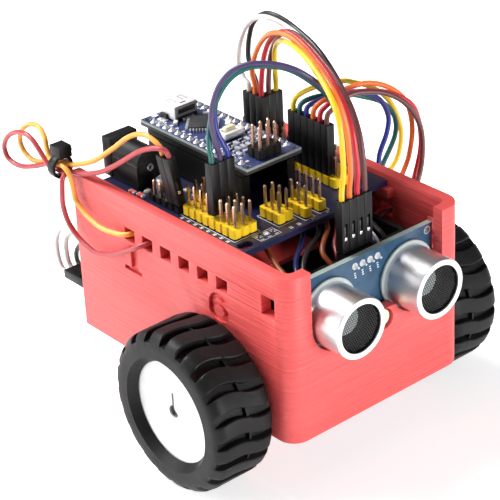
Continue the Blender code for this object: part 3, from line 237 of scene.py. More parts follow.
def speckled(key, base, rough, metal=0.0, spread=0.08, grain=700.0, dent=0.0, coat=0.0, shine=0.5):
    """A finish with a fine change of colour and gloss."""
    made = Finish(key)
    fine = made.spread(made.noise(grain), 0.3, 0.7)
    broad = made.spread(made.noise(grain / 9, 2.0), 0.3, 0.7)
    values = {
        "base_color": made.mix(fine * 0.6 + broad * 0.4, shade(base, 1 - spread), shade(base, 1 + spread)),
        "roughness": rough - 0.07 + 0.14 * broad,
        "metallic": metal,
        "coat_weight": coat,
        "specular_ior_level": shine,
    }
    if dent:
        values["normal"] = made.bump(fine, dent)
    return made.surface(**values)


def printed_red(key, base):
    """Red print with fine level lines, as the layers leave them."""
    made = Finish(key)
    per_layer = 1 / sizes().layer
    lines = made.spread(made.noise((28.0, 28.0, per_layer * 0.55), 2.0), 0.32, 0.68)
    fine = made.spread(made.noise((90.0, 90.0, per_layer)), 0.3, 0.7)
    cloud = made.spread(made.noise(60.0, 2.0), 0.3, 0.7)
    pale = (min(1.0, base[0] * 1.06), base[1] * 1.4, base[2] * 1.4)
    return made.surface(
        base_color=made.mix(lines * 0.55 + fine * 0.25 + cloud * 0.2, shade(base, 0.80), pale),
        roughness=0.40 + 0.14 * fine,
        normal=made.bump(lines * 0.6 + fine * 0.4, 0.00016, 0.7),
    )


def board_mask(key, base):
    """Solder mask with faint copper traces under it."""
    made = Finish(key)
    pattern = {"distance": "MANHATTAN", "feature": "F1"}
    cells = made.node("ShaderNodeTexVoronoi", pattern, {"Vector": made.place(260.0), "Scale": 1.0})
    traces = made.spread(cells, 0.55, 0.62)
    fine = made.noise(900.0)
    return made.surface(
        base_color=made.mix(traces * 0.5 + fine * 0.3, shade(base, 0.86), shade(base, 1.35)),
        roughness=0.34 + 0.1 * fine,
        normal=made.bump(traces, 0.00002, 0.5),
        coat_weight=0.15,
    )


def drawn_metal(key, base):
    """Bright metal with faint drawn lines along Y."""
    made = Finish(key)
    lines = made.spread(made.noise((1500.0, 50.0, 1500.0), 2.0), 0.3, 0.7)
    smudge = made.spread(made.noise(120.0, 2.0), 0.3, 0.7)
    return made.surface(
        base_color=made.mix(lines * 0.5 + smudge * 0.5, shade(base, 0.9), shade(base, 1.06)),
        roughness=0.31 + 0.08 * smudge + 0.05 * lines,
        metallic=1.0,
        normal=made.bump(lines, 0.000003, 0.4),
    )


FLOOR_GLOW = 0.64


def bright_floor(key, base):
    """Pale floor that the camera and metal see brighter than it lights the robot."""
    made = Finish(key)
    grain = made.noise(40.0)
    rays = ("Is Camera Ray", "Is Glossy Ray", "Is Transmission Ray")
    seen = sum(made.node("ShaderNodeLightPath", {}, {}, out=ray) for ray in rays)
    return made.surface(
        base_color=made.mix(grain, shade(base, 0.99), shade(base, 1.01)),
        roughness=0.8,
        emission_strength=1.0,
        emission_color=made.mix(seen, (0.0, 0.0, 0.0), (FLOOR_GLOW,) * 3),
    )


# Painted shade: how much darker the colour of the wires deep in the well is made
PAINTED_WELL_SHADE = 0.35
# Painted highlight: how much lighter the top rim of each sensor can is painted
CAN_RIM_HIGHLIGHT = 1.4
BARE_METAL = {"rough": 0.27, "metal": 1.0, "spread": 0.1}
WIRE_GLOSS = {"rough": 0.42, "spread": 0.07, "grain": 900.0, "coat": 0.1}
PLAIN_GLOSS = {"rough": 0.45}
# Gloss and grain of the speckled finishes
GLOSSES = {
    "can-ring": {"rough": 0.5, "metal": 0.35, "spread": 0.03},
    "shell": {"rough": 0.45, "metal": 0.2, "spread": 0.04},
    "solder": {"rough": 0.28, "metal": 0.65, "spread": 0.1},
    "steel": BARE_METAL,
    "pin": BARE_METAL,
    "gearbox": BARE_METAL,
    "net": {"rough": 0.35, "metal": 0.8, "spread": 0.2},
    "rubber": {"rough": 0.5, "spread": 0.3, "grain": 420.0, "dent": 0.00004, "shine": 0.22},
    "white": {"rough": 0.4, "spread": 0.03, "grain": 300.0},
    "black": {"rough": 0.42, "spread": 0.25, "grain": 1200.0, "dent": 0.000006, "shine": 0.25},
}
PATTERNS = {
    "red": printed_red,
    "navy": board_mask,
    "blue": board_mask,
    "sensor_blue": board_mask,
    "can": drawn_metal,
    "floor": bright_floor,
}


def make_finish(key):
    """Makes one of the named finishes. Its name up to a dash is the name of a colour property."""
    base = tuple(getattr(bpy.context.scene.robot_colours, key.split("-")[0]))
    if key in PATTERNS:
        return PATTERNS[key](key, base)
    # Keys of the wires deep in the well darken their colour: painted shade
    if "-dark" in key:
        base = shade(base, PAINTED_WELL_SHADE)
    # The can rims are painted lighter: painted highlight
    if key == "can-ring":
        base = shade(base, CAN_RIM_HIGHLIGHT)
    usual = WIRE_GLOSS if key.startswith(("wire", "power")) else PLAIN_GLOSS
    return speckled(key, base, **GLOSSES.get(key, usual))


def mm(*values):
    """A point given in millimetres, in metres."""
    if len(values) == 1:
        values = values[0]
    return Vector(values) * MM


def pick(*pieces):
    """Object mode with only these pieces selected, the first one active."""
    if bpy.context.object and bpy.context.object.mode != "OBJECT":
        bpy.ops.object.mode_set(mode="OBJECT")
    bpy.ops.object.select_all(action="DESELECT")
    for piece in pieces:
        piece.select_set(True)
    if pieces:
        bpy.context.view_layer.objects.active = pieces[0]


@contextmanager
def editing(piece, points=None, edges=None):
    """Edit mode on one piece with everything selected, or only the points or edges that pass a test."""
    pick(piece)
    bpy.ops.object.mode_set(mode="EDIT")
    bpy.ops.mesh.select_mode(type="EDGE" if edges else "VERT")
    bpy.ops.mesh.select_all(action="DESELECT" if points or edges else "SELECT")
    if points or edges:
        bpy.ops.object.mode_set(mode="OBJECT")
        places = [vertex.co for vertex in piece.data.vertices]
        for vertex in piece.data.vertices:
            vertex.select = bool(points and points(vertex.co))
        for edge in piece.data.edges:
            edge.select = bool(edges and edges(places[edge.vertices[0]], places[edge.vertices[1]]))
        bpy.ops.object.mode_set(mode="EDIT")
        bpy.ops.mesh.select_mode(type="EDGE" if edges else "VERT")
    yield piece
    bpy.ops.object.mode_set(mode="OBJECT")


def cleaned(piece, distance=0.001):
    """Merges doubled points and turns the faces outwards."""
    with editing(piece):
        bpy.ops.mesh.remove_doubles(threshold=distance * MM)
        bpy.ops.mesh.normals_make_consistent(inside=False)
    return piece


def applied(piece, kind, **settings):
    """Adds a modifier and applies it."""
    pick(piece)
    step = piece.modifiers.new(kind.lower(), kind)
    for key, value in settings.items():
        setattr(step, key, value)
    bpy.ops.object.modifier_apply(modifier=step.name)
    return piece


def rounded(piece, width, segments=2, angle=32.0):
    """Rounds the sharp edges; width in metres."""
    return applied(
        piece, "BEVEL", width=width, segments=segments, limit_method="ANGLE", angle_limit=math.radians(angle)
    )


def cut(piece, *cutters, operation="DIFFERENCE"):
    """Takes the cutters away from a piece, or adds them to it."""
    for cutter in cutters:
        applied(piece, "BOOLEAN", object=cutter, operation=operation, solver="EXACT")
        bpy.data.objects.remove(cutter)
    return piece


def painted(piece, key):
    """Gives the whole piece one finish."""
    piece.data.materials.clear()
    piece.data.materials.append(finish_of(key))
    return piece


def block(low, high, bevel=0.0):
    """A block between two corners, with rounded edges where a bevel is given."""
    pick()
    low, high = mm(low), mm(high)
    bpy.ops.mesh.primitive_cube_add(size=1.0, location=(low + high) / 2)
    made = bpy.context.object
    made.scale = high - low
    bpy.ops.object.transform_apply(location=True, rotation=True, scale=True)
    return rounded(made, bevel * MM) if bevel else made


def slab(low, high, key, bevel=0.0):
    """A block in one finish."""
    return painted(block(low, high, bevel), key)


def facing(origin, direction=(0, 0, 1)):
    """Moves a piece made along Z to a place and direction."""
    turn = Vector((0, 0, 1)).rotation_difference(Vector(direction))
    return Matrix.Translation(mm(origin)) @ turn.to_matrix().to_4x4()


def turned(degrees, axis="Z"):
    """A turn about one axis."""
    return Matrix.Rotation(math.radians(degrees), 4, axis)


def placed(piece, matrix):
    """Moves the piece's own points, so that its origin stays in the frame's origin."""
    piece.data.transform(matrix)
    piece.data.update()
    return piece


def mesh_of(points, edges=(), faces=()):
    """A new piece out of points in metres, with edges or faces between them."""
    pick()
    bpy.ops.mesh.primitive_plane_add(size=1.0)
    made = bpy.context.object
    with editing(made):
        bpy.ops.mesh.delete(type="VERT")
    made.data.from_pydata(points, edges, faces)
    return made


def lathe(profile, steps=48, closed=False):
    """Spins a line of (radius, height) points round Z."""
    count = len(profile)
    ends = count if closed else count - 1
    points = [mm(radius, 0, height) for radius, height in profile]
    made = mesh_of(points, [(i, (i + 1) % count) for i in range(ends)])
    with editing(made):
        bpy.ops.mesh.spin(steps=steps, angle=math.tau, center=(0, 0, 0), axis=(0, 0, 1))
    return cleaned(made)


def rod(radius, low, high, steps=24, bevel=0.0):
    """A round rod along Z from low to high."""
    pick()
    bpy.ops.mesh.primitive_cylinder_add(
        vertices=steps, radius=radius * MM, depth=(high - low) * MM, location=mm(0, 0, (low + high) / 2)
    )
    made = bpy.context.object
    bpy.ops.object.transform_apply(location=True, rotation=True, scale=True)
    return rounded(made, bevel * MM) if bevel else made


def copied(piece, matrix):
    """A copy with its own mesh, moved by a matrix."""
    made = piece.copy()
    made.data = piece.data.copy()
    bpy.context.scene.collection.objects.link(made)
    return placed(made, matrix)


def spread_over(piece, matrices):
    """Copies of a piece at every place; the piece itself is used up."""
    made = [copied(piece, matrix) for matrix in matrices]
    bpy.data.objects.remove(piece)
    return made


def joined(*pieces):
    """One piece out of several."""
    flat = [part for piece in pieces for part in (piece if isinstance(piece, list) else [piece])]
    pick(*flat)
    if len(flat) > 1:
        bpy.ops.object.join()
    return flat[0]


def of_node(node, merge=0.002):
    """A copy of a CAD node with merged points and no needless edges."""
    made = bpy.data.objects.new(node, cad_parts[node].data.copy())
    bpy.context.scene.collection.objects.link(made)
    with editing(made):
        bpy.ops.mesh.customdata_custom_splitnormals_clear()
        bpy.ops.mesh.remove_doubles(threshold=merge * MM)
        bpy.ops.mesh.dissolve_limited(angle_limit=math.radians(1.0))
        bpy.ops.mesh.normals_make_consistent(inside=False)
    return made


def done(piece, name, nodes=(), body="robot", smooth=35.0):
    """Names a finished piece and ties it to its body and the nodes that it stands for."""
    pick(piece)
    piece.name = name
    piece.data.name = name
    if piece.type == "MESH":
        if not piece.data.polygons:
            raise RuntimeError(f"{name} has no faces")
        bpy.ops.object.shade_smooth_by_angle(angle=math.radians(smooth))
    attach(piece, body)
    if nodes:
        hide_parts(*nodes)
    return piece


def low_high(node):
    """Corners of a CAD node in millimetres."""
    low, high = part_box(node)
    return low / MM, high / MM


def dress(node, key):
    """Gives a CAD node that is kept a better finish."""
    piece = painted(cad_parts[node], key)


def edges_and_faces(board, key, axis):
    """Mask on the flat sides of a board, and the cut colour on its edge."""
    painted(board, key)
    board.data.materials.append(finish_of("board_edge"))
    for face in board.data.polygons:
        face.material_index = 0 if abs(face.normal[axis]) > 0.7 else 1


# Wire routes in millimetres, from plug to far end
ULTRASONIC_WIRES = {
    "wire_yellow": "19.22 19.28 77.8, 19.22 19.28 79.8, 17.6 17.4 88, 16.3 15.3 91.8, 13.4 10 95.8, "
    "8.5 1.6 99.2, 4.4 -6.5 101.1, 2 -12.6 101.2, 0.2 -17.7 100.1, -1.6 -22.8 98.6, -3 -26.9 96.4, "
    "-4 -29.9 93.5, -4.5 -31.5 89.4, -4.3 -31.7 84.2, -3.8 -31.3 78.6, -3.81 -30.5 73.3, -3.81 -30.5 71.3",
    "wire_orange": "14.14 21.82 77.8, 14.14 21.82 79.8, 14.2 22.8 83.2, 13.5 20.6 88.3, 12.3 16.7 93.5, "
    "10.7 11.6 97.8, 9.9 6.9 99.9, 9.6 1.8 100.3, 7.8 -5.1 99.7, 4.9 -12 99.3, 1.2 -19.8 98.9, "
    "-1 -25.7 96.9, -1.1 -28.3 93, -0.9 -29.7 88.1, -1.1 -30.6 82.8, -1.4 -31.2 77.7, -1.27 -30.5 73.3, "
    "-1.27 -30.5 71.3",
    "wire_red": "14.14 19.28 77.8, 14.14 19.28 79.8, 13.8 18.2 84.7, 13.9 17.3 89.2, 13.5 15 93.5, "
    "12.4 10.9 97.5, 11.5 6.4 99.9, 11.2 2 100, 9.8 -4.2 99.2, 7.7 -10.3 98.2, 5.6 -16.5 96.7, "
    "4 -21.6 94.2, 2.7 -25.9 90.9, 1.8 -28.8 86.8, 1.4 -30.2 81.7, 1.2 -30.9 76.7, 1.27 -30.5 73.3, "
    "1.27 -30.5 71.3",
    "wire_brown": "16.68 19.28 77.8, 16.68 19.28 79.8, 17.4 19.7 83.2, 18.1 19.7 87.2, 17.5 17.3 91.6, "
    "15.2 12.1 96.2, 13.1 6.4 99.4, 12.6 1.9 99.5, 11.3 -3.9 98.7, 9.9 -9.3 97.4, 8.6 -14.8 95.5, "
    "7.1 -20.1 93, 5.8 -24.5 89.9, 4.8 -27.8 85.5, 4.1 -29.7 80.6, 3.8 -30.4 75.6, 3.81 -30.5 73.3, "
    "3.81 -30.5 71.3",
}
AUX_WIRES = {
    "wire_black": "16.68 24.36 77.8, 16.68 24.36 79.2, 16.8 25.7 81.4, 16.9 27.2 84.9, 16.9 27.1 88.2, "
    "16.9 26.4 91.5, 16.7 24.8 95.1, 16.5 22.1 98.1, 16.2 18.7 100.1, 16.1 15.1 100.7, 16.5 11.8 100.1, "
    "16.7 8.2 99, 16 4 98.3, 15.1 -0.5 97.4, 14.1 -5.2 95.8, 13.5 -9.4 93.1, 13.1 -13.1 89.8, "
    "12.8 -16.2 85.7, 12.6 -18.3 80.7, 12.5 -19.3 75.6, 12.5 -19.7 70.7, 12.4 -22 62, 12.2 -22.6 57.4, "
    "12.1 -25 56, 12 -28.2 54.4, 11.9 -30.3 50.5, 11.9 -30.8 44",
    "wire_white": "14.14 24.36 77.8, 14.14 24.36 79, 14.3 26.5 80.5, 14.6 28.6 83.8, 14.5 28.1 87.8, "
    "14.4 26.7 91.7, 14.2 24.6 95.2, 13.9 22 97.9, 13.6 18.5 99.9, 13.4 14.7 100.9, 14.3 12.2 100.4, "
    "15.2 9.3 99.3, 14.7 5.3 98.7, 13.4 0.2 97.9, 12.4 -4.6 96.2, 11.4 -9.2 93.7, 10.6 -13.3 90.7, "
    "10.2 -16.3 86.8, 10 -18.4 81.9, 9.9 -19.5 76.8, 9.9 -19.8 71.6, 10 -22 62, 9.6 -22.6 57.4, 9.5 -25 56, "
    "9.4 -28.2 54.4, 9.3 -30.3 50.5, 9.3 -30.8 44",
}
NEAR_WIRES = {
    "wire_purple": "-19.34 -3.58 78.6, -19.34 -3.58 79.8, -20.4 -3.7 83.2, -20.9 -3.3 88.1, "
    "-20.6 -3.2 91.7, -19.8 -3.5 94.8, -18.8 -4.1 97.6, -17.4 -5.2 100.1, -15.7 -6.6 102, -13.6 -8.3 103, "
    "-11.5 -10.1 103.3, -9 -12.1 103, -6.7 -14.2 102.4, -4.5 -16.5 101.2, -2.3 -18.1 99.3, -0.4 -19.5 97.2, "
    "1.6 -20.8 94.3, 3.8 -22.3 89.5, 5.2 -23.6 82.5, 4.2 -25.6 74, 4.4 -26.9 67.5, 5 -27.6 62, "
    "6.2 -29.4 57.6, 6.7 -31.8 53, 6.7 -32 45",
    "wire_green": "-21.88 -3.58 78.6, -21.88 -3.58 79.8, -21.6 -2.7 82.5, -20.6 -1.9 86, -19.7 -2.1 90, "
    "-18.7 -2.8 93.4, -17.2 -3.4 96.3, -15.6 -4.6 98.8, -13.9 -6.1 100.6, -12 -7.7 101.6, -9.9 -9.5 101.9, "
    "-7.8 -11.3 101.7, -5.6 -13.2 101.1, -3.3 -14.9 99.7, -1.4 -16.7 97.9, 0.8 -17.9 95.6, 3.5 -18.8 92.2, "
    "4.9 -20.3 87.5, 5.5 -21.9 82, 6.1 -24 74, 6 -25.3 67, 5.9 -26.4 60.6, 5.9 -28.4 56.4, 5.9 -30.2 52, "
    "5.9 -30.5 45",
    "wire_blue": "-16.8 -3.58 78.6, -16.8 -3.58 79.6, -17.6 -2.8 82.1, -18.4 -1.8 85.6, -18.4 -1.4 89.3, "
    "-17.6 -1.4 92.8, -16.5 -1.9 95.8, -15.2 -3 98.6, -13.5 -4.5 100.5, -11.5 -6.1 101.4, -9.3 -7.9 101.7, "
    "-7 -9.9 101.5, -4.6 -11.8 100.8, -2.1 -13.8 99.4, 0.6 -15.1 97.2, 3.4 -15.6 94.5, 5.2 -16.9 92, "
    "7.2 -21.8 82, 8 -23.2 74, 7.8 -23.8 66, 7.5 -25 59.6, 7.4 -28 55.2, 7.35 -30.1 51, 7.35 -30.4 45",
}
LINE_WIRES = {
    "wire_yellow": "14.14 6.58 77.8, 14.14 6.58 79.4, 15.7 6.2 81.2, 20.3 5 82.3, 27.5 3.2 82.2, "
    "31.2 2.3 81, 37.2 0.8 77.8, 41.9 -0.4 72.7, 44.5 -1 66.5, 45 -1.2 61, 43.1 -0.7 54.5, 37 0.4 50.6, "
    "31.1 1.2 51.5, 26.6 1.2 51.5, 24.6 1.22 51.5, 22.7 1.22 50.2, 21.9 1.22 46.5, 21.8 1.22 39",
    "wire_green": "14.14 4.04 77.8, 14.14 4.04 79.4, 16.4 3.4 80.6, 20.9 2.3 80.6, 27 0.8 79.5, "
    "32.9 -0.7 77.1, 37.5 -1.8 74.5, 41 -2.7 69.9, 41.3 -2.8 64.3, 38.2 -2 57.7, 35 -1.4 52.8, "
    "31.1 -0.8 51.5, 26.6 -0.8 51.5, 24.6 -0.78 51.5, 22.7 -0.78 50.2, 21.9 -0.78 46.5, 21.8 -0.78 39",
    "wire_blue": "14.14 1.5 77.8, 14.14 1.5 79.4, 16.4 1 80.4, 21.5 -0.4 81, 29 -2.2 80.4, 34.6 -3.7 77, "
    "37.3 -4.3 71.7, 36.9 -4.2 66.8, 34.6 -3.6 60.6, 33.4 -4.5 55, 31.1 -6.1 51.5, 26.6 -6.1 51.5, "
    "24.6 -6.14 51.5, 22.7 -6.14 50.2, 21.9 -6.14 46.5, 21.8 -6.14 39",
    "wire_orange": "14.14 -1.04 77.8, 14.14 -1.04 79.4, 15.6 -1.6 81.2, 18.3 -2.4 82.2, 23.7 -3.6 83.5, "
    "30 -5.2 83.4, 36 -6.7 80.5, 40.6 -7.8 75.4, 42.3 -8.2 68, 41.4 -8 60.4, 39.5 -7.6 55.6, 35.5 -8 51.8, "
    "31.1 -8.1 51.5, 26.6 -8.1 51.5, 24.6 -8.14 51.5, 22.7 -8.14 50.2, 21.9 -8.14 46.5, 21.8 -8.14 39",
    "wire_red": "14.14 -3.58 77.8, 14.14 -3.58 79.4, 15.4 -4 81, 18.6 -4.9 82.6, 25 -6.4 83, 33 -8.3 80.8, "
    "39.5 -9.9 76.4, 42.1 -10.6 71.2, 42.9 -10.8 63.4, 41.1 -10.6 55.8, 36.5 -12.3 51.4, 31.1 -13.5 51.5, "
    "26.6 -13.5 51.5, 24.6 -13.5 51.5, 22.7 -13.5 50.2, 21.9 -13.5 46.5, 21.8 -13.5 39",
    "wire_brown": "14.14 -6.12 77.8, 14.14 -6.12 79.4, 15.4 -6.5 81, 20.1 -7.6 83.7, 25.2 -8.9 83.6, "
    "31.4 -10.5 81.5, 36.9 -11.9 77, 40.6 -12.9 70.1, 41.2 -13.1 62.4, 40 -13 55.8, 35.5 -14.6 51.8, "
    "31.1 -15.5 51.5, 26.6 -15.5 51.5, 24.6 -15.5 51.5, 22.7 -15.5 50.2, 21.9 -15.5 46.5, 21.8 -15.5 39",
}
POWER_RED = {
    "power_red": "-25.08 9.52 76.88, -25.36 9.75 78, -26.25 11.1 78.75, -27.1 14.6 77.9, -27.6 19.4 75.3, "
    "-28.1 27.3 69.6, -28.8 34 65.4, -29.8 41 62.8, -30.2 46.3 62, -30.2 51.5 62, -30.4 56.5 60.6, "
    "-30.8 62 58.2, -31.2 68.5 56.2, -31.6 73.4 56.9, -31.8 74.6 60.4, -32 71.2 64.8, -32.3 65 67.8, "
    "-32.4 59.4 67.6, -32.1 53.1 62, -32.1 51.5 62, -32.1 46.3 62, -33.4 45.4 60.6, -33.7 45.6 56.6, "
    "-33 46.8 52.6, -32.4 46.2 48, -32 43 44.4, -31.8 38.3 42.6, -31.6 34.8 42.2, -31.6 27.5 44.8, "
    "-31.6 20.5 48.6, -30.9 16.54 51.05, -26.6 14.94 51.55, -23.8 14.94 51.55",
}
POWER_ORANGE = {
    "power_orange": "-25.08 12.06 76.88, -25.2 12.4 78.2, -25.6 14.6 79.8, -25.9 18.6 80.2, "
    "-26.2 24.2 77.6, -27 30.6 72.4, -28.4 37.2 67.4, -29.6 43 64.8, -30.2 46.3 64, -30.2 51.5 64, "
    "-29.7 55.4 62.9, -29.2 60.4 59.6, -29 65.8 58.3, -29 69.6 59.8, -29.1 70.6 62.8, -29.3 68.7 66.4, "
    "-29.6 64 69.6, -30 59.4 70.5, -30.7 55.9 68.9, -31.6 53.9 66.2, -32.1 51.5 64, -32.1 46.3 64, "
    "-32 44 62.4, -31.8 43 58.8, -31.6 42.6 55.2, -31.6 38.4 52.4, -31.6 32.5 50.8, -31.2 26.8 51.1, "
    "-30.1 23.2 51.55, -26.6 22.3 51.55, -23.8 22.3 51.55",
}
# Wires deep in the well; most of their keys give them painted shade
WELL_WIRES = {
    "wire_orange-dark": "-13 -9 57.4, -15 -13 57.3, -17 -18 56.7, -18.8 -23 55.7, -19.8 -27.6 54.6, "
    "-20.2 -30.2 50.6, -20.2 -30.9 44",
    "wire_blue-dark": "-1 -9.6 57.4, -3.4 -15.4 57, -8 -19.8 56.5, -13 -23.4 55.6, -16.4 -27.4 54.6, "
    "-17.6 -30.2 50.6, -17.8 -30.9 44",
    "wire_black": "3.2 -8.8 57.4, 1.8 -14.4 57.1, -1.4 -19 56.7, -8 -22.2 55.9, -13.2 -26.2 54.8, "
    "-15.6 -29.8 51.4, -15.9 -30.8 44",
    "wire_orange-dark2": "6.4 -12.4 57.2, 1.8 -18.8 56.9, -2.4 -22 56.3, -5.6 -25 54.9, -5.4 -28.8 52, "
    "-5.4 -30.4 47, -5.4 -30.6 42",
    "wire_red-dark": "11 -11 57.2, 8.6 -14.6 57, 2.8 -21.2 56.5, -0.8 -24.2 55.5, -2.8 -27.4 53.9, "
    "-3.2 -30 49.6, -3.2 -30.6 40",
}
REAR_WIRES = {
    "wire_white": "-25.7 59.3 24.7, -25.7 61.1 24.7, -25.7 62.9 27.7, -25.7 63.1 33.2, -25.7 60.3 37.9, "
    "-25.7 54.3 40.3, -24.9 48.3 39.3, -24.4 41 36.5, -24.4 36 34",
    "wire_white-2": "-23.16 59.3 24.7, -23.16 61.1 24.7, -23.16 62.5 28.2, -23.16 61.7 33.5, "
    "-23.16 57.3 37.3, -23.16 51.3 38.1, -22.6 45 36.8, -22.4 38 34",
    "wire_grey": "-20.62 59.3 24.7, -20.62 60.9 24.7, -20.62 61.5 27.7, -20.62 59.3 31.1, -20.62 54.3 33.9, "
    "-21.22 48.3 35.1, -22 43.5 34.2, -21.9 38 31.6",
}
SENSOR_PLUGS = ("plug_signal", "plug_ultrasonic")
# Group name, CAD node, material slot, routes, plugs on it, far end in a plug
WIRE_GROUPS = (
    ("ultrasonic", "wires_ultrasonic", "wire_orange", ULTRASONIC_WIRES, SENSOR_PLUGS, True),
    ("aux", "wires_aux", "wire_black", AUX_WIRES, (), False),
    ("near", "wires_near", "wire_purple", NEAR_WIRES, ("plug_near",), False),
    ("line", "wires_line", "wire_yellow", LINE_WIRES, ("plug_line",), False),
    ("power_a", "wire_power_red", "wire_red", POWER_RED, ("plug_power", "tie"), False),
    ("power_b", "wire_power_orange", "wire_orange", POWER_ORANGE, (), False),
    ("rear", "wires_rear", "wire_white", REAR_WIRES, ("plug_rear",), False),
    ("well", "", "wire_orange", WELL_WIRES, (), False),
)


def route_points(text):
    """The points of a route, in metres."""
    return [mm([float(part) for part in point.split()]) for point in text.split(",")]


def wire(points, key):
    """A round wire along a smooth line through the points."""
    pick()
    bpy.ops.curve.primitive_bezier_curve_add()
    made = bpy.context.object
    bpy.ops.object.transform_apply(location=True, rotation=True, scale=True)
    made.data.bevel_depth = sizes().wire_radius
    made.data.bevel_resolution = 3
    made.data.resolution_u = 6
    made.data.use_fill_caps = True
    spline = made.data.splines[0]
    spline.bezier_points.add(len(points) - len(spline.bezier_points))
    last = len(points) - 1
    for i, (knot, point) in enumerate(zip(spline.bezier_points, points)):
        knot.handle_left_type = knot.handle_right_type = "FREE"
        before, after = points[max(i - 1, 0)], points[min(i + 1, last)]
        lean = (after - before) / (3 if i in (0, last) else 6)
        knot.co = point
        knot.handle_left = point - lean
        knot.handle_right = point + lean
    made.data.materials.append(finish_of(key))
    return made


# Camera fitted to the photo: metres, degrees and the lens for a sensor of 36 mm
CAMERA_PLACE = (-0.28433, -0.33723, 0.28448)
CAMERA_TURN = (61.4257, 2.6143, -40.7268)
CAMERA_LENS = 139.2


class ROBOT_OT_camera(bpy.types.Operator):
    """Sets the camera to the photo's view"""

    bl_idname = "robot.camera"
    bl_label = "Camera"

    def execute(self, context):
        pick()
        turn = [math.radians(part) for part in CAMERA_TURN]
        bpy.ops.object.camera_add(location=CAMERA_PLACE, rotation=turn)
        camera = bpy.context.object
        camera.data.lens = CAMERA_LENS
        camera.data.sensor_width = 36.0
        camera.data.sensor_fit = "HORIZONTAL"
        camera.data.clip_start = 0.01
        camera.data.clip_end = 20.0
        context.scene.camera = camera
        return {"FINISHED"}


def housing():
    """One plug housing along Z from zero, its latch window towards -Y, with painted shade on the spring in
    the window.
    """
    half = sizes().plug_width / MM / 2
    tall = sizes().plug_height / MM
    made = block((-half, -half, 0), (half, half, tall), 0.16)
    hole = block((-0.85, -0.85, tall - 3.2), (0.85, 0.85, tall + 1))
    window = block((-0.5, -half - 1, 3.2), (0.5, -half + 0.55, 8.0))
    mouth = block((-0.5, -0.5, -1), (0.5, 0.5, 1.6))
    cut(made, hole, window, mouth)
    painted(made, "black")
    latch = slab((-0.42, -half + 0.02, 3.3), (0.42, -half + 0.6, 4.2), "solder", 0.12)
    # The spring in the latch window is painted dark: its metal with painted shade inside the window
    spring_in_shade = slab((-0.35, -half + 0.35, 4.2), (0.35, -half + 0.6, 7.0), "net", 0.05)
    return joined(made, latch, spring_in_shade)


# Pins that carry plugs, and the feet of the plugs
FAR_PIN_X = 14.14
NEAR_PIN_X = -21.88
REAR_PIN_Y = 26.9
SENSOR_PIN_X = (-3.81, -1.27, 1.27, 3.81)
SENSOR_PIN_Y = -30.5
SENSOR_PLUG_FOOT = 57.0
FAR_PLUG_FOOT = 63.5
NEAR_PLUG_FOOT = 64.3
POWER_PLUG_FOOT = (-22.6, 10.79, 62.8)
POWER_PLUG_LEAN = -10
HANGING_PLUG_FOOT = (-25.7, 45.0, 24.7)


class ROBOT_OT_plugs(bpy.types.Operator):
    """Makes the jumper plugs from copies of one housing"""

    bl_idname = "robot.plugs"
    bl_label = "Plugs"

    def execute(self, context):
        pitch = context.scene.robot_sizes.pitch / MM
        steps = [pitch * n for n in range(3)]
        rows = [FAR_PIN_X + step for step in steps]
        columns = [REAR_PIN_Y - pitch * n for n in range(14)]
        lean = facing(POWER_PLUG_FOOT) @ turned(POWER_PLUG_LEAN, "Y")
        hanging = facing(HANGING_PLUG_FOOT) @ turned(-90, "X")
        signal = [(rows[0], columns[1]), (rows[1], columns[1]), (rows[0], columns[2])]
        signal += [(row, columns[3]) for row in rows]
        line = [(rows[0], column) for column in columns[8:]]
        near = [(NEAR_PIN_X + step, columns[12], NEAR_PLUG_FOOT) for step in steps]
        groups = {
            "ultrasonic": [facing((x, SENSOR_PIN_Y, SENSOR_PLUG_FOOT)) for x in SENSOR_PIN_X],
            "signal": [facing((*place, FAR_PLUG_FOOT)) @ turned(90) for place in signal],
            "line": [facing((*place, FAR_PLUG_FOOT)) @ turned(90) for place in line],
            "near": [facing(place) @ turned(180) for place in near],
            "power": [lean @ facing((0, -pitch / 2, 0)), lean @ facing((0, pitch / 2, 0)) @ turned(180)],
            "rear": [hanging @ facing((step, 0, 0)) for step in steps],
        }
        unit = housing()
        for name, places in groups.items():
            made = joined([copied(unit, place) for place in places])
            done(made, f"plug_{name}", [f"{name}_plug"])
        bpy.data.objects.remove(unit)
        tie = rounded(of_node("cable_tie"), 0.12 * MM)
        done(painted(tie, "black"), "tie", ["cable_tie"])
        return {"FINISHED"}


class ROBOT_OT_wires(bpy.types.Operator):
    """Lays the jumper wires and the power wires"""

    bl_idname = "robot.wires"
    bl_label = "Wires"

    def execute(self, context):
        size = context.scene.robot_sizes
        for group, node, slot, routes, plugs, into_far in WIRE_GROUPS:
            for number, (key, text) in enumerate(routes.items()):
                points = route_points(text)
                if plugs or group in ("aux", "power_b"):
                    points[0] -= (points[1] - points[0]).normalized() * size.into_plug
                if into_far:
                    points[-1] += (points[-1] - points[-2]).normalized() * size.into_plug
                name = f"wire_{group}_{key.split('_')[1].replace('-', '_')}"
                made = done(wire(points, key), name, [node] if node else [])
        return {"FINISHED"}


def oval(middle, half_wide, half_tall, stroke, wall, deep):
    """An oval ring that reaches into the near side wall, round a (y, z) middle."""
    ring = lathe([(1 - stroke, -1), (1, -1), (1, deep - wall), (1 - stroke, deep - wall)], 48, True)
    placed(ring, Matrix.Diagonal((half_tall, half_wide, 1, 1)))
    return placed(ring, facing((wall, *middle)) @ turned(90, "Y"))


# Numbers in the near side wall, as (y, z) places, and the far rear corner that is cut back
ONE_STROKE = ((19.6, 40.9), (22.6, 48.6))
ONE_FOOT = ((18.3, 40.8), (25.4, 42.0))
ONE_FLAG = (22.2, 47.7)
ONE_FLAG_TURN = -125
SIX_LOOP = (-12.85, 43.35)
SIX_CURVE = (-12.85, 44.6)
SIX_HALF_WIDE = 3.85
SIX_OPENING = ((-18.0, 43.0), (-14.6, 46.6))
FAR_CORNER = ((20.0, 42.0, 52.0), (32.0, 48.0, 64.0))


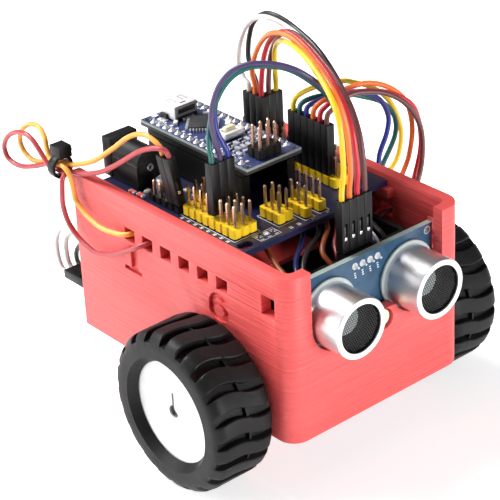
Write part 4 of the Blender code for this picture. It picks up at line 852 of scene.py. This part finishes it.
class ROBOT_OT_tub(bpy.types.Operator):
    """Makes the printed tub with rounded edges and the numbers in its side"""

    bl_idname = "robot.tub"
    bl_label = "Tub"

    def execute(self, context):
        size = context.scene.robot_sizes
        made = rounded(of_node("chassis"), size.edge, 2, 40.0)
        wall = low_high("chassis")[0].x
        deep = wall + size.number_depth / MM
        bars = [block((wall - 1, *low), (deep, *high)) for low, high in (ONE_STROKE, ONE_FOOT)]
        flag = block((-1, -0.7, 0), (deep - wall, 0.7, 3.4))
        placed(flag, facing((wall, *ONE_FLAG)) @ turned(ONE_FLAG_TURN, "X"))
        curve = oval(SIX_CURVE, SIX_HALF_WIDE, 3.95, 0.42, wall, deep)
        low, high = SIX_OPENING
        cut(curve, block((wall - 2, *low), (deep + 1, *high)))
        loop = oval(SIX_LOOP, SIX_HALF_WIDE, 2.7, 0.46, wall, deep)
        cut(made, block(*FAR_CORNER), *bars, flag, curve, loop)
        done(painted(made, "red"), "tub", ["chassis"], smooth=30.0)
        cover = rounded(of_node("battery_cover"), size.edge)
        done(painted(cover, "red"), "cover", ["battery_cover"])
        return {"FINISHED"}


# Lean of a tread groove in degrees, against the way across the tyre from its outer side
TREAD_LEAN = (
    (0.0, 1.2), (0.06, 0.2), (0.12, -0.7), (0.2, -1.4), (0.28, -1.6), (0.36, -1.3), (0.44, -0.5), (0.52, 0.9),
    (0.6, 2.6), (0.68, 3.9), (0.76, 4.7), (0.85, 5.0), (0.93, 4.8), (1.0, 4.3),
)


# Tyre in section: width of a shoulder, radii of the bead and its seat, width of the bead's step
SHOULDER = 3.7
BEAD_R = 15.4
SEAT_R = 13.65
BEAD_STEP = 2.4
# Web across each groove: its place as a part of the tyre's width, half its width at foot and top, its height
WEB_PLACE = 0.545
WEB_HALF = 0.35
WEB_TOP_HALF = 0.3
WEB_FILL = 0.62


def tread_lean(part):
    """Lean of a groove at a part of the way across the tyre."""
    for (start, low), (end, high) in zip(TREAD_LEAN, TREAD_LEAN[1:]):
        if part <= end:
            return low + (high - low) * (part - start) / (end - start)
    return TREAD_LEAN[-1][1]


def tyre_section(wide, radius):
    """The outside and the seat of a tyre, as (across, radius, fill of a groove) points."""
    shoulder = [(0.0, BEAD_R), (0.0, 16.8), (0.0, 18.2), (0.12, 19.0), (0.4, 19.7), (0.9, 20.4), (1.6, 21.0)]
    shoulder += [(2.5, 21.45), (SHOULDER, radius)]
    middle = wide * WEB_PLACE
    near, far = middle - WEB_HALF, middle + WEB_HALF
    outside = [(x, r, 0.0) for x, r in shoulder]
    outside += [(SHOULDER + (near - SHOULDER) * n / 6, radius, 0.0) for n in range(1, 7)]
    outside += [(middle + step, radius, WEB_FILL) for step in (-WEB_TOP_HALF, WEB_TOP_HALF)]
    outside += [(far + (wide - SHOULDER - far) * n / 5, radius, 0.0) for n in range(5)]
    outside += [(wide - x, r, 0.0) for x, r in reversed(shoulder)]
    seat = [(wide - BEAD_STEP, SEAT_R, 0.0), (wide - BEAD_STEP, BEAD_R, 0.0)]
    seat += [(BEAD_STEP, BEAD_R, 0.0), (BEAD_STEP, SEAT_R, 0.0)]
    return outside, seat


def tyre_mesh(size):
    """The near tyre as one grid wrapped round the axle."""
    low, high = low_high("tyre_left")
    wide, radius = high.x - low.x, (high.z - low.z) / 2
    axle = (low + high) / 2
    lug = 360.0 / size.lug_count
    half = math.degrees(size.groove_width / MM / 2 / radius)
    floor = radius - size.groove_depth / MM
    across = [(-half - 0.7, 0.0), (-half, 0.12), (-half + 0.3, 1.0), (0.0, 1.0)]
    across += [(half - 0.3, 1.0), (half, 0.12)]
    across += [(half + 0.7 + (lug - 2 * half - 1.4) * n / 6, 0.0) for n in range(6)]
    outside, seat = tyre_section(wide, radius)
    line = outside + seat
    count = size.lug_count * len(across)
    pick()
    bpy.ops.mesh.primitive_grid_add(x_subdivisions=count, y_subdivisions=len(line), size=1.0)
    made = bpy.context.object
    for vertex in made.data.vertices:
        i = round((vertex.co.x + 0.5) * count) % count
        j = round((vertex.co.y + 0.5) * len(line)) % len(line)
        number, place = divmod(i, len(across))
        angle, depth = across[place]
        x, r, fill = line[j]
        if j < len(outside):
            lean = tread_lean(x / wide)
            if depth and r > floor:
                r += (floor - r) * depth * (1 - fill)
        else:
            lean = tread_lean(1.0) * (len(line) - j) / (len(seat) + 1)
        turn = math.radians(number * lug + angle + lean)
        vertex.co = mm(low.x + x, axle.y - r * math.sin(turn), axle.z + r * math.cos(turn))
    return cleaned(made)


def rim_mesh():
    """The near rim with its hub, seen face to the outside, with painted shade in its slit and bore."""
    low, high = low_high("rim_left")
    deep, drum = high.x - low.x, (high.z - low.z) / 2
    axle = (low + high) / 2
    face = [(0, 0), (3.4, 0), (3.5, -0.03), (12.2, -0.03), (12.35, 0.03), (drum - 0.2, 0.03)]
    face += [(drum, -0.15), (drum, -deep), (drum - 1.6, -deep), (drum - 1.6, -1.7)]
    face += [(4.0, -1.7), (4.0, -deep + 1.0), (0, -deep + 1.0)]
    outwards = facing((low.x, axle.y, axle.z), (-1, 0, 0))
    made = placed(lathe(face, 96), outwards)
    bore = placed(rod(1.75, -9.0, 2.0), outwards)
    slit = block((low.x - 2, axle.y - 0.42, axle.z), (low.x + 1.2, axle.y + 0.42, axle.z + 5.4))
    painted(cut(made, bore, slit), "white")
    # A grey strip in the slit and a grey ring in the bore are painted shade that darkens these gaps
    slit_shade = (low.x + 0.3, axle.y - 0.45, axle.z + 1.6), (low.x + 1.3, axle.y + 0.45, axle.z + 5.5)
    bore_shade = placed(lathe([(1.52, -1.2), (1.8, -1.2), (1.8, -0.35), (1.52, -0.35)], 24, True), outwards)
    return joined(made, slab(*slit_shade, "wire_grey"), painted(bore_shade, "wire_grey")), axle


class ROBOT_OT_wheels(bpy.types.Operator):
    """Makes both wheels: tyre with S-shaped grooves, white rim and shaft end"""

    bl_idname = "robot.wheels"
    bl_label = "Wheels"

    def execute(self, context):
        tyre = painted(tyre_mesh(context.scene.robot_sizes), "rubber")
        rim, axle = rim_mesh()
        shaft = painted(rounded(of_node("motor_shaft_left"), 0.1 * MM), "steel")
        about = facing((0, axle.y, 0))
        turn = about @ turned(180) @ about.inverted()
        kinds = ((tyre, "tyre", "tyre", "tyre"), (rim, "rim", "rim", "white_plastic"))
        kinds += ((shaft, "shaft", "motor_shaft", "steel"),)
        for piece, name, node, slot in kinds:
            other = copied(piece, turn)
            done(piece, f"wheel_{name}_left", [f"{node}_left"], "left_wheel")
            done(other, f"wheel_{name}_right", [f"{node}_right"], "right_wheel")
        return {"FINISHED"}


def hex_net(radius, size):
    """A round net of six-sided holes in the XY plane."""
    pitch, points, faces = size.mesh_pitch / MM, [], []
    corner = pitch / math.sqrt(3)
    reach = int(radius / pitch) + 2
    for row in range(-reach, reach + 1):
        for column in range(-reach, reach + 1):
            x, y = pitch * (column + 0.5 * (row % 2)), pitch * row * math.sqrt(3) / 2
            if math.hypot(x, y) > radius - corner * 0.6:
                continue
            faces.append(list(range(len(points), len(points) + 6)))
            for n in range(6):
                turn = math.radians(60 * n + 30)
                points.append(mm(x + corner * math.cos(turn), y + corner * math.sin(turn), 0))
    made = cleaned(mesh_of(points, faces=faces), 0.01)
    return applied(made, "WIREFRAME", thickness=size.mesh_wire, use_boundary=True, use_even_offset=False)


# Radii in the distance sensor, how far a cone lies behind its rim, and a mesh in front of its CAD node
CAN_R = 8.05
BORE_R = 6.4
CONE_R = 3.7
CONE_BACK = 5.3
NET_R = 6.3
NET_FORWARD = 1.4
# Holes in the corners of the sensor board
HOLE_R = 0.75
HOLE_IN = 1.7
FRONT = (0, -1, 0)


def sensor_can(side):
    """One can with its rim painted lighter as a highlight, the cone in its dark bore and the plastic ring at
    its foot.
    """
    low, high = low_high(f"transducer_{side}")
    middle = (low + high) / 2
    tall = high.y - low.y
    back = tall - CONE_BACK
    wall = [(0, 0.7), (CAN_R, 0.7), (CAN_R, tall - 0.45), (CAN_R - 0.12, tall - 0.15), (CAN_R - 0.4, tall)]
    lip = [(6.75, tall), (6.5, tall - 0.12), (BORE_R, tall - 0.4), (BORE_R, back)]
    cone = [(CONE_R, back), (CONE_R - 0.2, back + 0.2), (0, back - 0.4)]
    can = painted(lathe(wall + lip + cone, 96), "can")
    for key in ("can-ring", "black", "ring"):
        can.data.materials.append(finish_of(key))
    for face in can.data.polygons:
        reach = max(can.data.vertices[i].co.xy.length for i in face.vertices) / MM
        height = face.center.z / MM
        # The rim faces on top get the painted highlight
        if height > tall - 0.2:
            face.material_index = 1
        elif height > 1.0 and reach < BORE_R + 0.05:
            face.material_index = 3 if reach < CONE_R + 0.05 else 2
    foot = [(CAN_R - 0.5, 0), (9.0, 0), (9.0, 0.45), (8.85, 0.6), (CAN_R + 0.1, 0.6), (CAN_R - 0.5, 0.6)]
    joined(can, painted(lathe(foot, 96, True), "ring"))
    placed(can, facing((middle.x, high.y, middle.z), FRONT))
    done(can, f"sensor_can_{side}", [f"transducer_{side}"], smooth=28.0)
    return middle


def sensor_mesh(side, middle, size):
    """The mesh in one can, further forward than its CAD node."""
    low, high = low_high(f"mesh_{side}")
    net = painted(hex_net(NET_R, size), "net")
    placed(net, facing((middle.x, (low.y + high.y) / 2 - NET_FORWARD, middle.z), FRONT))
    done(net, f"sensor_mesh_{side}", [f"mesh_{side}"], smooth=60.0)


def sensor_board():
    """The sensor's board with its holes, solder joints and print; the joints are painted near white as
    highlights.
    """
    low, high = low_high("ultrasonic_board")
    board = of_node("ultrasonic_board")
    sides = (low.x + HOLE_IN, high.x - HOLE_IN)
    holes = [(x, low.y, z) for x in sides for z in (low.z + HOLE_IN, high.z - HOLE_IN)]
    cut(board, *[placed(rod(HOLE_R, -2, 2), facing(hole, (0, 1, 0))) for hole in holes])
    edges_and_faces(board, "sensor_blue", 1)
    ring = lathe([(HOLE_R, 0), (1.15, 0), (1.15, 0.03), (HOLE_R, 0.03)], 20, True)
    rings = [facing((x, low.y, high.z - HOLE_IN), FRONT) for x in sides]
    marks = spread_over(painted(ring, "solder"), rings)
    for x in SENSOR_PIN_X:
        for n in range(3):
            left, foot = x - 0.35 + 0.1 * n, high.z - 4.4 - 0.62 * n
            marks.append(slab((left, low.y - 0.03, foot), (left + 0.55, low.y, foot + 0.3), "ink"))
    # The solder joints get the near white of the socket shell: painted highlight
    joint = lathe([(0, 1.5), (0.26, 1.45), (0.34, 0.9), (0.55, 0.4), (0.85, 0.12), (0.95, 0)], 12)
    joints = [facing((x, low.y, high.z - 2.3), FRONT) for x in SENSOR_PIN_X]
    marks += spread_over(painted(joint, "shell"), joints)
    done(joined(board, marks), "sensor_board", ["ultrasonic_board"])


def sensor_crystal():
    """The crystal's flat can: a bar with two round ends."""
    low, high = low_high("crystal")
    radius, ends = (high.z - low.z) / 2, (low.x + 2.3, high.x - 2.3)
    bar = block((ends[0], low.y, low.z), (ends[1], high.y, high.z))
    places = [facing((x, high.y, low.z + radius), FRONT) for x in ends]
    cut(bar, *spread_over(rod(radius, 0, high.y - low.y, 32), places), operation="UNION")
    rounded(bar, 0.55 * MM, 3)
    done(painted(bar, "cream"), "sensor_crystal", ["crystal"])


class ROBOT_OT_distance_sensor(bpy.types.Operator):
    """Makes the distance sensor: board, two cans with mesh, crystal and pins"""

    bl_idname = "robot.distance_sensor"
    bl_label = "Distance sensor"

    def execute(self, context):
        for side in ("left", "right"):
            middle = sensor_can(side)
            sensor_mesh(side, middle, context.scene.robot_sizes)
        sensor_board()
        sensor_crystal()
        dress("ultrasonic_header", "black")
        return {"FINISHED"}


def header_cell(tall, key):
    """One cell of a pin header with cut corners, from zero up."""
    half = sizes().pitch / MM / 2 - 0.02
    made = block((-half, -half, 0), (half, half, tall))
    with editing(made, edges=lambda one, two: (one - two).xy.length < 1e-6):
        bpy.ops.mesh.bevel(offset=0.42 * MM, segments=1)
    return painted(made, key)


def pin(low, high):
    """One square pin with a tapered tip."""
    half = sizes().pin_width / MM / 2
    made = block((-half, -half, low), (half, half, high))
    with editing(made, points=lambda place: place.z > (high - 0.1) * MM):
        bpy.ops.mesh.extrude_region_move(TRANSFORM_OT_translate={"value": (0, 0, 0.45 * MM)})
        bpy.ops.transform.resize(value=(0.45, 0.45, 1.0))
    return painted(made, "pin")


def header(node, tall, key, name):
    """A pin header that fills the box of its CAD node."""
    low, high = low_high(node)
    pitch = sizes().pitch / MM
    columns, rows = round((high.x - low.x) / pitch), round((high.y - low.y) / pitch)
    unit = joined(header_cell(tall, key), pin(-0.2, high.z - low.z - 0.45))
    first = facing((low.x + pitch / 2, low.y + pitch / 2, low.z))
    places = [first @ facing((pitch * i, pitch * j, 0)) for i in range(columns) for j in range(rows)]
    done(joined(spread_over(unit, places)), name, [node], smooth=20.0)


class ROBOT_OT_headers(bpy.types.Operator):
    """Makes the pin headers of both boards from one cell and one pin"""

    bl_idname = "robot.headers"
    bl_label = "Pin headers"

    def execute(self, context):
        for part in ("near", "far", "a", "b", "c"):
            header(f"shield_header_{part}", 2.5, "yellow", f"header_{part}")
        header("power_header", 1.5, "black", "header_power")
        header("programming_header", 2.5, "black", "header_programming")
        return {"FINISHED"}


def ink(x0, y0, x1, y1, z):
    """A thin printed mark between two corners on a board."""
    return slab((x0, y0, z), (x1, y1, z + 0.02), "ink")


def outline(x0, y0, x1, y1, z):
    """A thin printed frame round a rectangle."""
    wide = 0.16
    level = [ink(x0, y, x1, y + wide, z) for y in (y0, y1 - wide)]
    return level + [ink(x, y0, x + wide, y1, z) for x in (x0, x1 - wide)]


def code_print(x0, y0, x1, y1, z):
    """A framed print of small squares that says nothing."""
    squares = outline(x0, y0, x1, y1, z)
    for i in range(11):
        for j in range(6):
            if (3 * i + 5 * j + i * j) % 4 in (0, 3):
                x, y = x0 + 0.4 + 0.58 * i, y0 + 0.4 + 0.58 * j
                squares.append(ink(x, y, x + 0.42, y + 0.42, z))
    return squares


def chip_part(x, y, z, long, wide, tall, key, turn):
    """A small two-ended surface part."""
    body = slab((-long / 2 + 0.3, -wide / 2, 0), (long / 2 - 0.3, wide / 2, tall), key, 0.05)
    cap, starts = wide / 2 + 0.02, (-long / 2, long / 2 - 0.4)
    ends = [slab((a, -cap, 0), (a + 0.4, cap, tall + 0.02), "solder", 0.05) for a in starts]
    return placed(joined(body, ends), facing((x, y, z)) @ turned(turn))


# Small parts on the shield: x, y, length, width, height, finish and turn in degrees
SHIELD_PARTS = (
    (-15.4, -15.0, 1.7, 0.9, 0.5, "white", 0), (-24.6, 26.6, 2.2, 1.2, 0.7, "red", 90),
    (-24.4, 23.4, 2.4, 1.3, 0.8, "red", 90), (-21.6, 24.2, 2.0, 1.2, 0.6, "cream", 20),
    (-14.6, 10.2, 2.2, 1.3, 0.7, "cream", 70), (-14.6, 13.0, 2.0, 1.2, 0.6, "black", 90),
    (-14.2, 17.0, 2.0, 1.2, 0.6, "cream", 90),
)


def shield_board():
    """The shield board with its hole, print and small parts."""
    low, high = low_high("shield_board")
    pitch = sizes().pitch / MM
    board = of_node("shield_board")
    cut(board, placed(rod(1.6, -3, 3), facing((low.x + 3.0, low.y + 2.9, high.z))))
    painted(board, "navy")
    prints = []
    for part in ("near", "a", "b", "c"):
        a, b = low_high(f"shield_header_{part}")
        prints += outline(a.x - 0.45, a.y - 0.45, b.x + 0.45, b.y + 0.45, high.z)
    first = low_high("shield_header_near")[0]
    for n in range(8):
        y = first.y + pitch * (n + 0.5)
        prints += [ink(x, y - 0.55, x + 0.3, y + 0.4, high.z) for x in (first.x - 1.6, first.x - 1.1)]
    for left in (-9.0, -6.4, -2.0, 3.0):
        prints += [ink(x, low.y + 1.0, x + 0.3, low.y + 2.2, high.z) for x in (left, left + 0.55)]
    prints += code_print(-18.6, -17.2, -11.9, -13.4, high.z)
    parts = [chip_part(x, y, high.z, *rest) for x, y, *rest in SHIELD_PARTS]
    done(joined(board, prints, parts), "shield", ["shield_board"])


def power_jack():
    """The power jack with the rivet in its closed end."""
    low, high = low_high("dc_jack")
    jack = painted(rounded(of_node("dc_jack"), 0.25 * MM), "black")
    rivet = lathe([(0.45, 0), (1.05, 0), (1.05, 0.2), (0.95, 0.32), (0.6, 0.32), (0.45, 0.15)], 24, True)
    placed(rivet, facing(((low.x + high.x) / 2, low.y, (low.z + high.z) / 2 - 0.4), FRONT))
    done(joined(jack, painted(rivet, "steel")), "jack", ["dc_jack"])


def capacitor():
    """The capacitor's can with its groove and sunk top."""
    low, high = low_high("capacitor")
    tall = high.z - low.z
    profile = [(0, 0), (1.9, 0), (1.95, 0.2), (1.75, 0.7), (1.95, 1.1), (1.95, tall - 0.35), (1.7, tall)]
    profile += [(1.45, tall), (1.4, tall - 0.12), (0, tall - 0.12)]
    can = placed(lathe(profile, 32), facing(((low.x + high.x) / 2, (low.y + high.y) / 2, low.z)))
    done(painted(can, "can"), "capacitor_can", ["capacitor"])


class ROBOT_OT_shield(bpy.types.Operator):
    """Makes the shield board with its print and small parts, the jack and the capacitor"""

    bl_idname = "robot.shield"
    bl_label = "Shield"

    def execute(self, context):
        shield_board()
        power_jack()
        capacitor()
        return {"FINISHED"}


# Solder joints and printed ticks of the controller board, and the pale band along its edge, below which the
# edge gets painted shade
PAD_X = (-8.95, 6.29)
PAD_Y = 0.71
TICK_X = (-7.6, -7.1, 4.6, 5.0)
EDGE_ABOVE_SHADE = 0.7
# Finishes of two even rows of small parts, by their y
PART_ROWS = {
    10.3: ("solder", "black", "solder", "black", "solder", "solder"),
    7.6: ("black", "solder", "solder", "solder", "black", "solder"),
}
# Other small parts: x, y, length, width, height, finish and turn in degrees
CONTROLLER_PARTS = (
    (-6.0, 5.0, 1.7, 1.0, 0.5, "solder", 90), (-3.6, 5.0, 1.9, 1.0, 0.6, "solder", 0),
    (-0.9, 5.0, 1.9, 1.0, 0.6, "solder", 0), (1.8, 5.0, 1.9, 1.0, 0.6, "solder", 0),
    (3.5, 20.7, 3.6, 1.4, 0.9, "shell", 45), (4.1, 16.2, 1.9, 1.1, 0.8, "cream", 90),
    (3.9, 13.3, 1.9, 1.1, 0.6, "black", 90), (-5.8, 17.8, 2.0, 1.2, 0.6, "solder", 45),
    (-5.8, 31.0, 1.9, 1.1, 0.8, "cream", 45), (3.7, 29.8, 1.9, 1.1, 0.7, "solder", -45),
    (-6.2, 14.4, 1.7, 1.0, 0.5, "solder", 90), (-6.6, 35.4, 2.6, 1.8, 0.3, "solder", 90),
    (3.7, 35.4, 2.6, 1.8, 0.3, "solder", 90), (-6.6, 39.0, 1.8, 1.6, 0.3, "solder", 90),
)


def controller_board():
    """The controller board with its solder joints, print and small parts, and painted shade on its edge below
    a pale band.
    """
    top = low_high("controller_board")[1].z
    pitch = sizes().pitch / MM
    board = of_node("controller_board")
    shade_top = (top - EDGE_ABOVE_SHADE) * MM
    with editing(board):
        bpy.ops.mesh.bisect(plane_co=(0, 0, shade_top), plane_no=(0, 0, 1))
    edges_and_faces(board, "blue", 2)
    # Below the pale band the edge gets the chip's dark colour: painted shade under the board
    board.data.materials.append(finish_of("chip"))
    for face in board.data.polygons:
        if face.material_index == 1 and face.center.z < shade_top:
            face.material_index = 2
    joint = lathe([(0, 1.0), (0.22, 0.95), (0.32, 0.62), (0.6, 0.3), (0.93, 0.08), (1.0, 0)], 10)
    rows = [PAD_Y + pitch * n for n in range(15)]
    marks = spread_over(painted(joint, "solder"), [facing((x, y, top)) for x in PAD_X for y in rows])
    for x in TICK_X:
        for n, y in enumerate(rows):
            marks.append(ink(x, y - 0.5 + 0.1 * (n % 3), x + 0.3, y + 0.3 + 0.1 * (n % 2), top))
    parts = [chip_part(x, y, top, *rest) for x, y, *rest in CONTROLLER_PARTS]
    for y, keys in PART_ROWS.items():
        parts += [chip_part(-6.0 + 1.8 * n, y, top, 1.9, 1.0, 0.5, key, 90) for n, key in enumerate(keys)]
    done(joined(board, marks, parts), "controller", ["controller_board"])


def controller_chip():
    """The square chip on its corner, with eight legs on each side."""
    low, high = low_high("microcontroller")
    middle, tall = (low + high) / 2, high.z - low.z
    body = slab((-3.5, -3.5, 0.12), (3.5, 3.5, tall), "chip", 0.14)
    dot = placed(painted(rod(0.3, 0, tall + 0.01, 12), "rubber"), facing((-2.6, 2.6, 0)))
    leg = slab((-0.2, -4.3, -0.28), (0.2, -3.4, 0.55), "solder", 0.06)
    places = [turned(90 * side) @ facing((-2.8 + 0.8 * n, 0, 0)) for side in range(4) for n in range(8)]
    chip = joined(body, dot, spread_over(leg, places))
    placed(chip, facing((middle.x, middle.y, low.z)) @ turned(45))
    done(chip, "chip", ["microcontroller"])


def reset_button():
    """The button's body on its legs, and the plunger that moves."""
    low, high = low_high("reset_button_body")
    body = painted(rounded(of_node("reset_button_body"), 0.3 * MM), "white")
    leg = slab((-0.5, -0.35, low.z - 0.25), (0.5, 0.35, low.z + 0.9), "solder", 0.1)
    columns, rows = (low.x - 0.2, high.x + 0.2), (low.y + 0.8, high.y - 0.8)
    legs = spread_over(leg, [facing((x, y, 0)) for x in columns for y in rows])
    plate = slab((low.x - 0.1, low.y - 0.1, low.z), (high.x + 0.1, high.y + 0.1, low.z + 0.7), "steel", 0.1)
    done(joined(body, legs, plate), "button", ["reset_button_body"])
    plunger = painted(rounded(of_node("reset_button_plunger"), 0.3 * MM, 3), "cream")
    done(plunger, "button_plunger", ["reset_button_plunger"], "reset_plunger")


def usb_socket():
    """The socket's shell with its springs, the closed end with a slot, a tab and the legs."""
    low, high = low_high("usb_socket")
    middle = (low.x + high.x) / 2
    sunk, top = high.z - 0.1, high.z + 0.02
    # The shell is painted near white: its bright metal with painted highlight
    shell = painted(rounded(of_node("usb_socket"), 0.25 * MM), "shell")
    parts = []
    for x in (middle - 2.5, middle + 1.1):
        bars = ((x, 34.4, x + 0.14), (x + 1.26, 34.4, x + 1.4), (x, 37.06, x + 1.4))
        parts += [slab((x0, y, sunk), (x1, 37.2, top), "chip") for x0, y, x1 in bars]
    parts.append(slab((middle - 0.9, 33.0, sunk), (middle + 0.9, 33.5, top), "black"))
    back = (low.x + 0.2, low.y - 0.35, low.z - 0.1), (high.x - 0.2, low.y + 0.1, high.z - 0.15)
    slot = (low.x + 1.0, low.y - 0.45, high.z - 2.2), (high.x - 1.0, low.y, high.z - 0.8)
    foot = (low.x + 0.5, low.y - 0.5, low.z - 0.1), (high.x - 0.5, low.y, low.z + 0.9)
    tab = (low.x - 0.9, 34.6, low.z - 0.2), (low.x + 0.1, 37.4, low.z + 1.2)
    parts += [slab(*back, "wire_grey", 0.12), slab(*slot, "black", 0.1)]
    parts += [slab(*foot, "black", 0.1), slab(*tab, "black", 0.15)]
    leg = slab((-0.18, -1.3, -0.28), (0.18, -0.3, 0.45), "solder", 0.06)
    legs = spread_over(leg, [facing((middle + 0.8 * n, low.y, low.z)) for n in range(-2, 3)])
    done(joined(shell, parts, legs), "usb", ["usb_socket"])


class ROBOT_OT_controller(bpy.types.Operator):
    """Makes the controller board with its chip, button, USB socket and solder joints"""

    bl_idname = "robot.controller"
    bl_label = "Controller board"

    def execute(self, context):
        controller_board()
        controller_chip()
        reset_button()
        usb_socket()
        for side in ("near", "far"):
            dress(f"controller_socket_{side}", "black")
            dress(f"controller_pins_{side}", "black")
        return {"FINISHED"}


# Finishes of the CAD nodes that are kept: single ones, and those with a left and a right
INSIDE = {
    "battery_box": "black",
    "caster_housing": "black",
    "caster_ball": "steel",
    "motor_driver_board": "blue",
}
INSIDE_PAIRS = {"battery_cell": "cell", "gear_motor": "gearbox", "motor_clamp": "red", "line_sensor": "blue"}


class ROBOT_OT_inside(bpy.types.Operator):
    """Gives the parts inside and underneath their finishes"""

    bl_idname = "robot.inside"
    bl_label = "Inside parts"

    def execute(self, context):
        for node, key in INSIDE.items():
            dress(node, key)
        for node, key in INSIDE_PAIRS.items():
            dress(f"{node}_left", key)
            dress(f"{node}_right", key)
        return {"FINISHED"}


# Lights: name, place and target in metres, width in metres and power in watts
LIGHTS = (
    ("top", (-0.3, 0.7, 1.05), (0, 0, 0.04), 0.7, 23.0),
    ("front", (0.15, -1.28, 0.16), (0, 0, 0.04), 0.6, 18.0),
    ("side", (-0.65, 0.5, 0.3), (-0.03, 0.02, 0.04), 0.5, 4.0),
)
SURROUNDINGS = 0.17
FLOOR_WIDE = 6.0


def soft_light(name, place, target, wide, watts):
    """One large soft light."""
    pick()
    bpy.ops.object.light_add(type="AREA", location=place)
    light = bpy.context.object
    light.name = name
    light.data.shape = "DISK"
    light.data.size = wide
    light.data.energy = watts
    light.rotation_euler = (Vector(target) - Vector(place)).to_track_quat("-Z", "Y").to_euler()


class ROBOT_OT_stage(bpy.types.Operator):
    """Sets the floor, the soft lights and the white surroundings"""

    bl_idname = "robot.stage"
    bl_label = "Stage"

    def execute(self, context):
        pick()
        bpy.ops.mesh.primitive_plane_add(size=FLOOR_WIDE, location=(0, 0, 0))
        floor = bpy.context.object
        floor.name = "floor"
        painted(floor, "floor")
        world = bpy.data.worlds.new("studio")
        world.use_nodes = True
        background = world.node_tree.nodes["Background"]
        background.inputs["Color"].default_value = (1.0, 1.0, 1.0, 1.0)
        background.inputs["Strength"].default_value = SURROUNDINGS
        context.scene.world = world
        for light in LIGHTS:
            soft_light(*light)
        context.scene.view_settings.view_transform = "Standard"
        return {"FINISHED"}


class ROBOT_PT_panel(bpy.types.Panel):
    """Sizes, colours and the steps of the robot"""

    bl_label = "Line follower robot"
    bl_idname = "ROBOT_PT_panel"
    bl_space_type = "VIEW_3D"
    bl_region_type = "UI"
    bl_category = "Robot"

    def draw(self, context):
        for group in (context.scene.robot_sizes, context.scene.robot_colours):
            column = self.layout.column(align=True)
            for key in group.bl_rna.properties.keys():
                if key not in ("rna_type", "name"):
                    column.prop(group, key)
        for step in STEPS:
            self.layout.operator(step.bl_idname)


STEPS = (
    ROBOT_OT_camera,
    ROBOT_OT_plugs,
    ROBOT_OT_wires,
    ROBOT_OT_tub,
    ROBOT_OT_wheels,
    ROBOT_OT_distance_sensor,
    ROBOT_OT_shield,
    ROBOT_OT_headers,
    ROBOT_OT_controller,
    ROBOT_OT_inside,
    ROBOT_OT_stage,
)
CLASSES = (RobotSizes, RobotColours, *STEPS, ROBOT_PT_panel)


def register():
    for part in CLASSES:
        bpy.utils.register_class(part)
    bpy.types.Scene.robot_sizes = PointerProperty(type=RobotSizes)
    bpy.types.Scene.robot_colours = PointerProperty(type=RobotColours)


def unregister():
    del bpy.types.Scene.robot_colours
    del bpy.types.Scene.robot_sizes
    for part in reversed(CLASSES):
        bpy.utils.unregister_class(part)


def main():
    register()
    for step in STEPS:
        group, name = step.bl_idname.split(".")
        getattr(getattr(bpy.ops, group), name)()


if __name__ == "__main__":
    main()
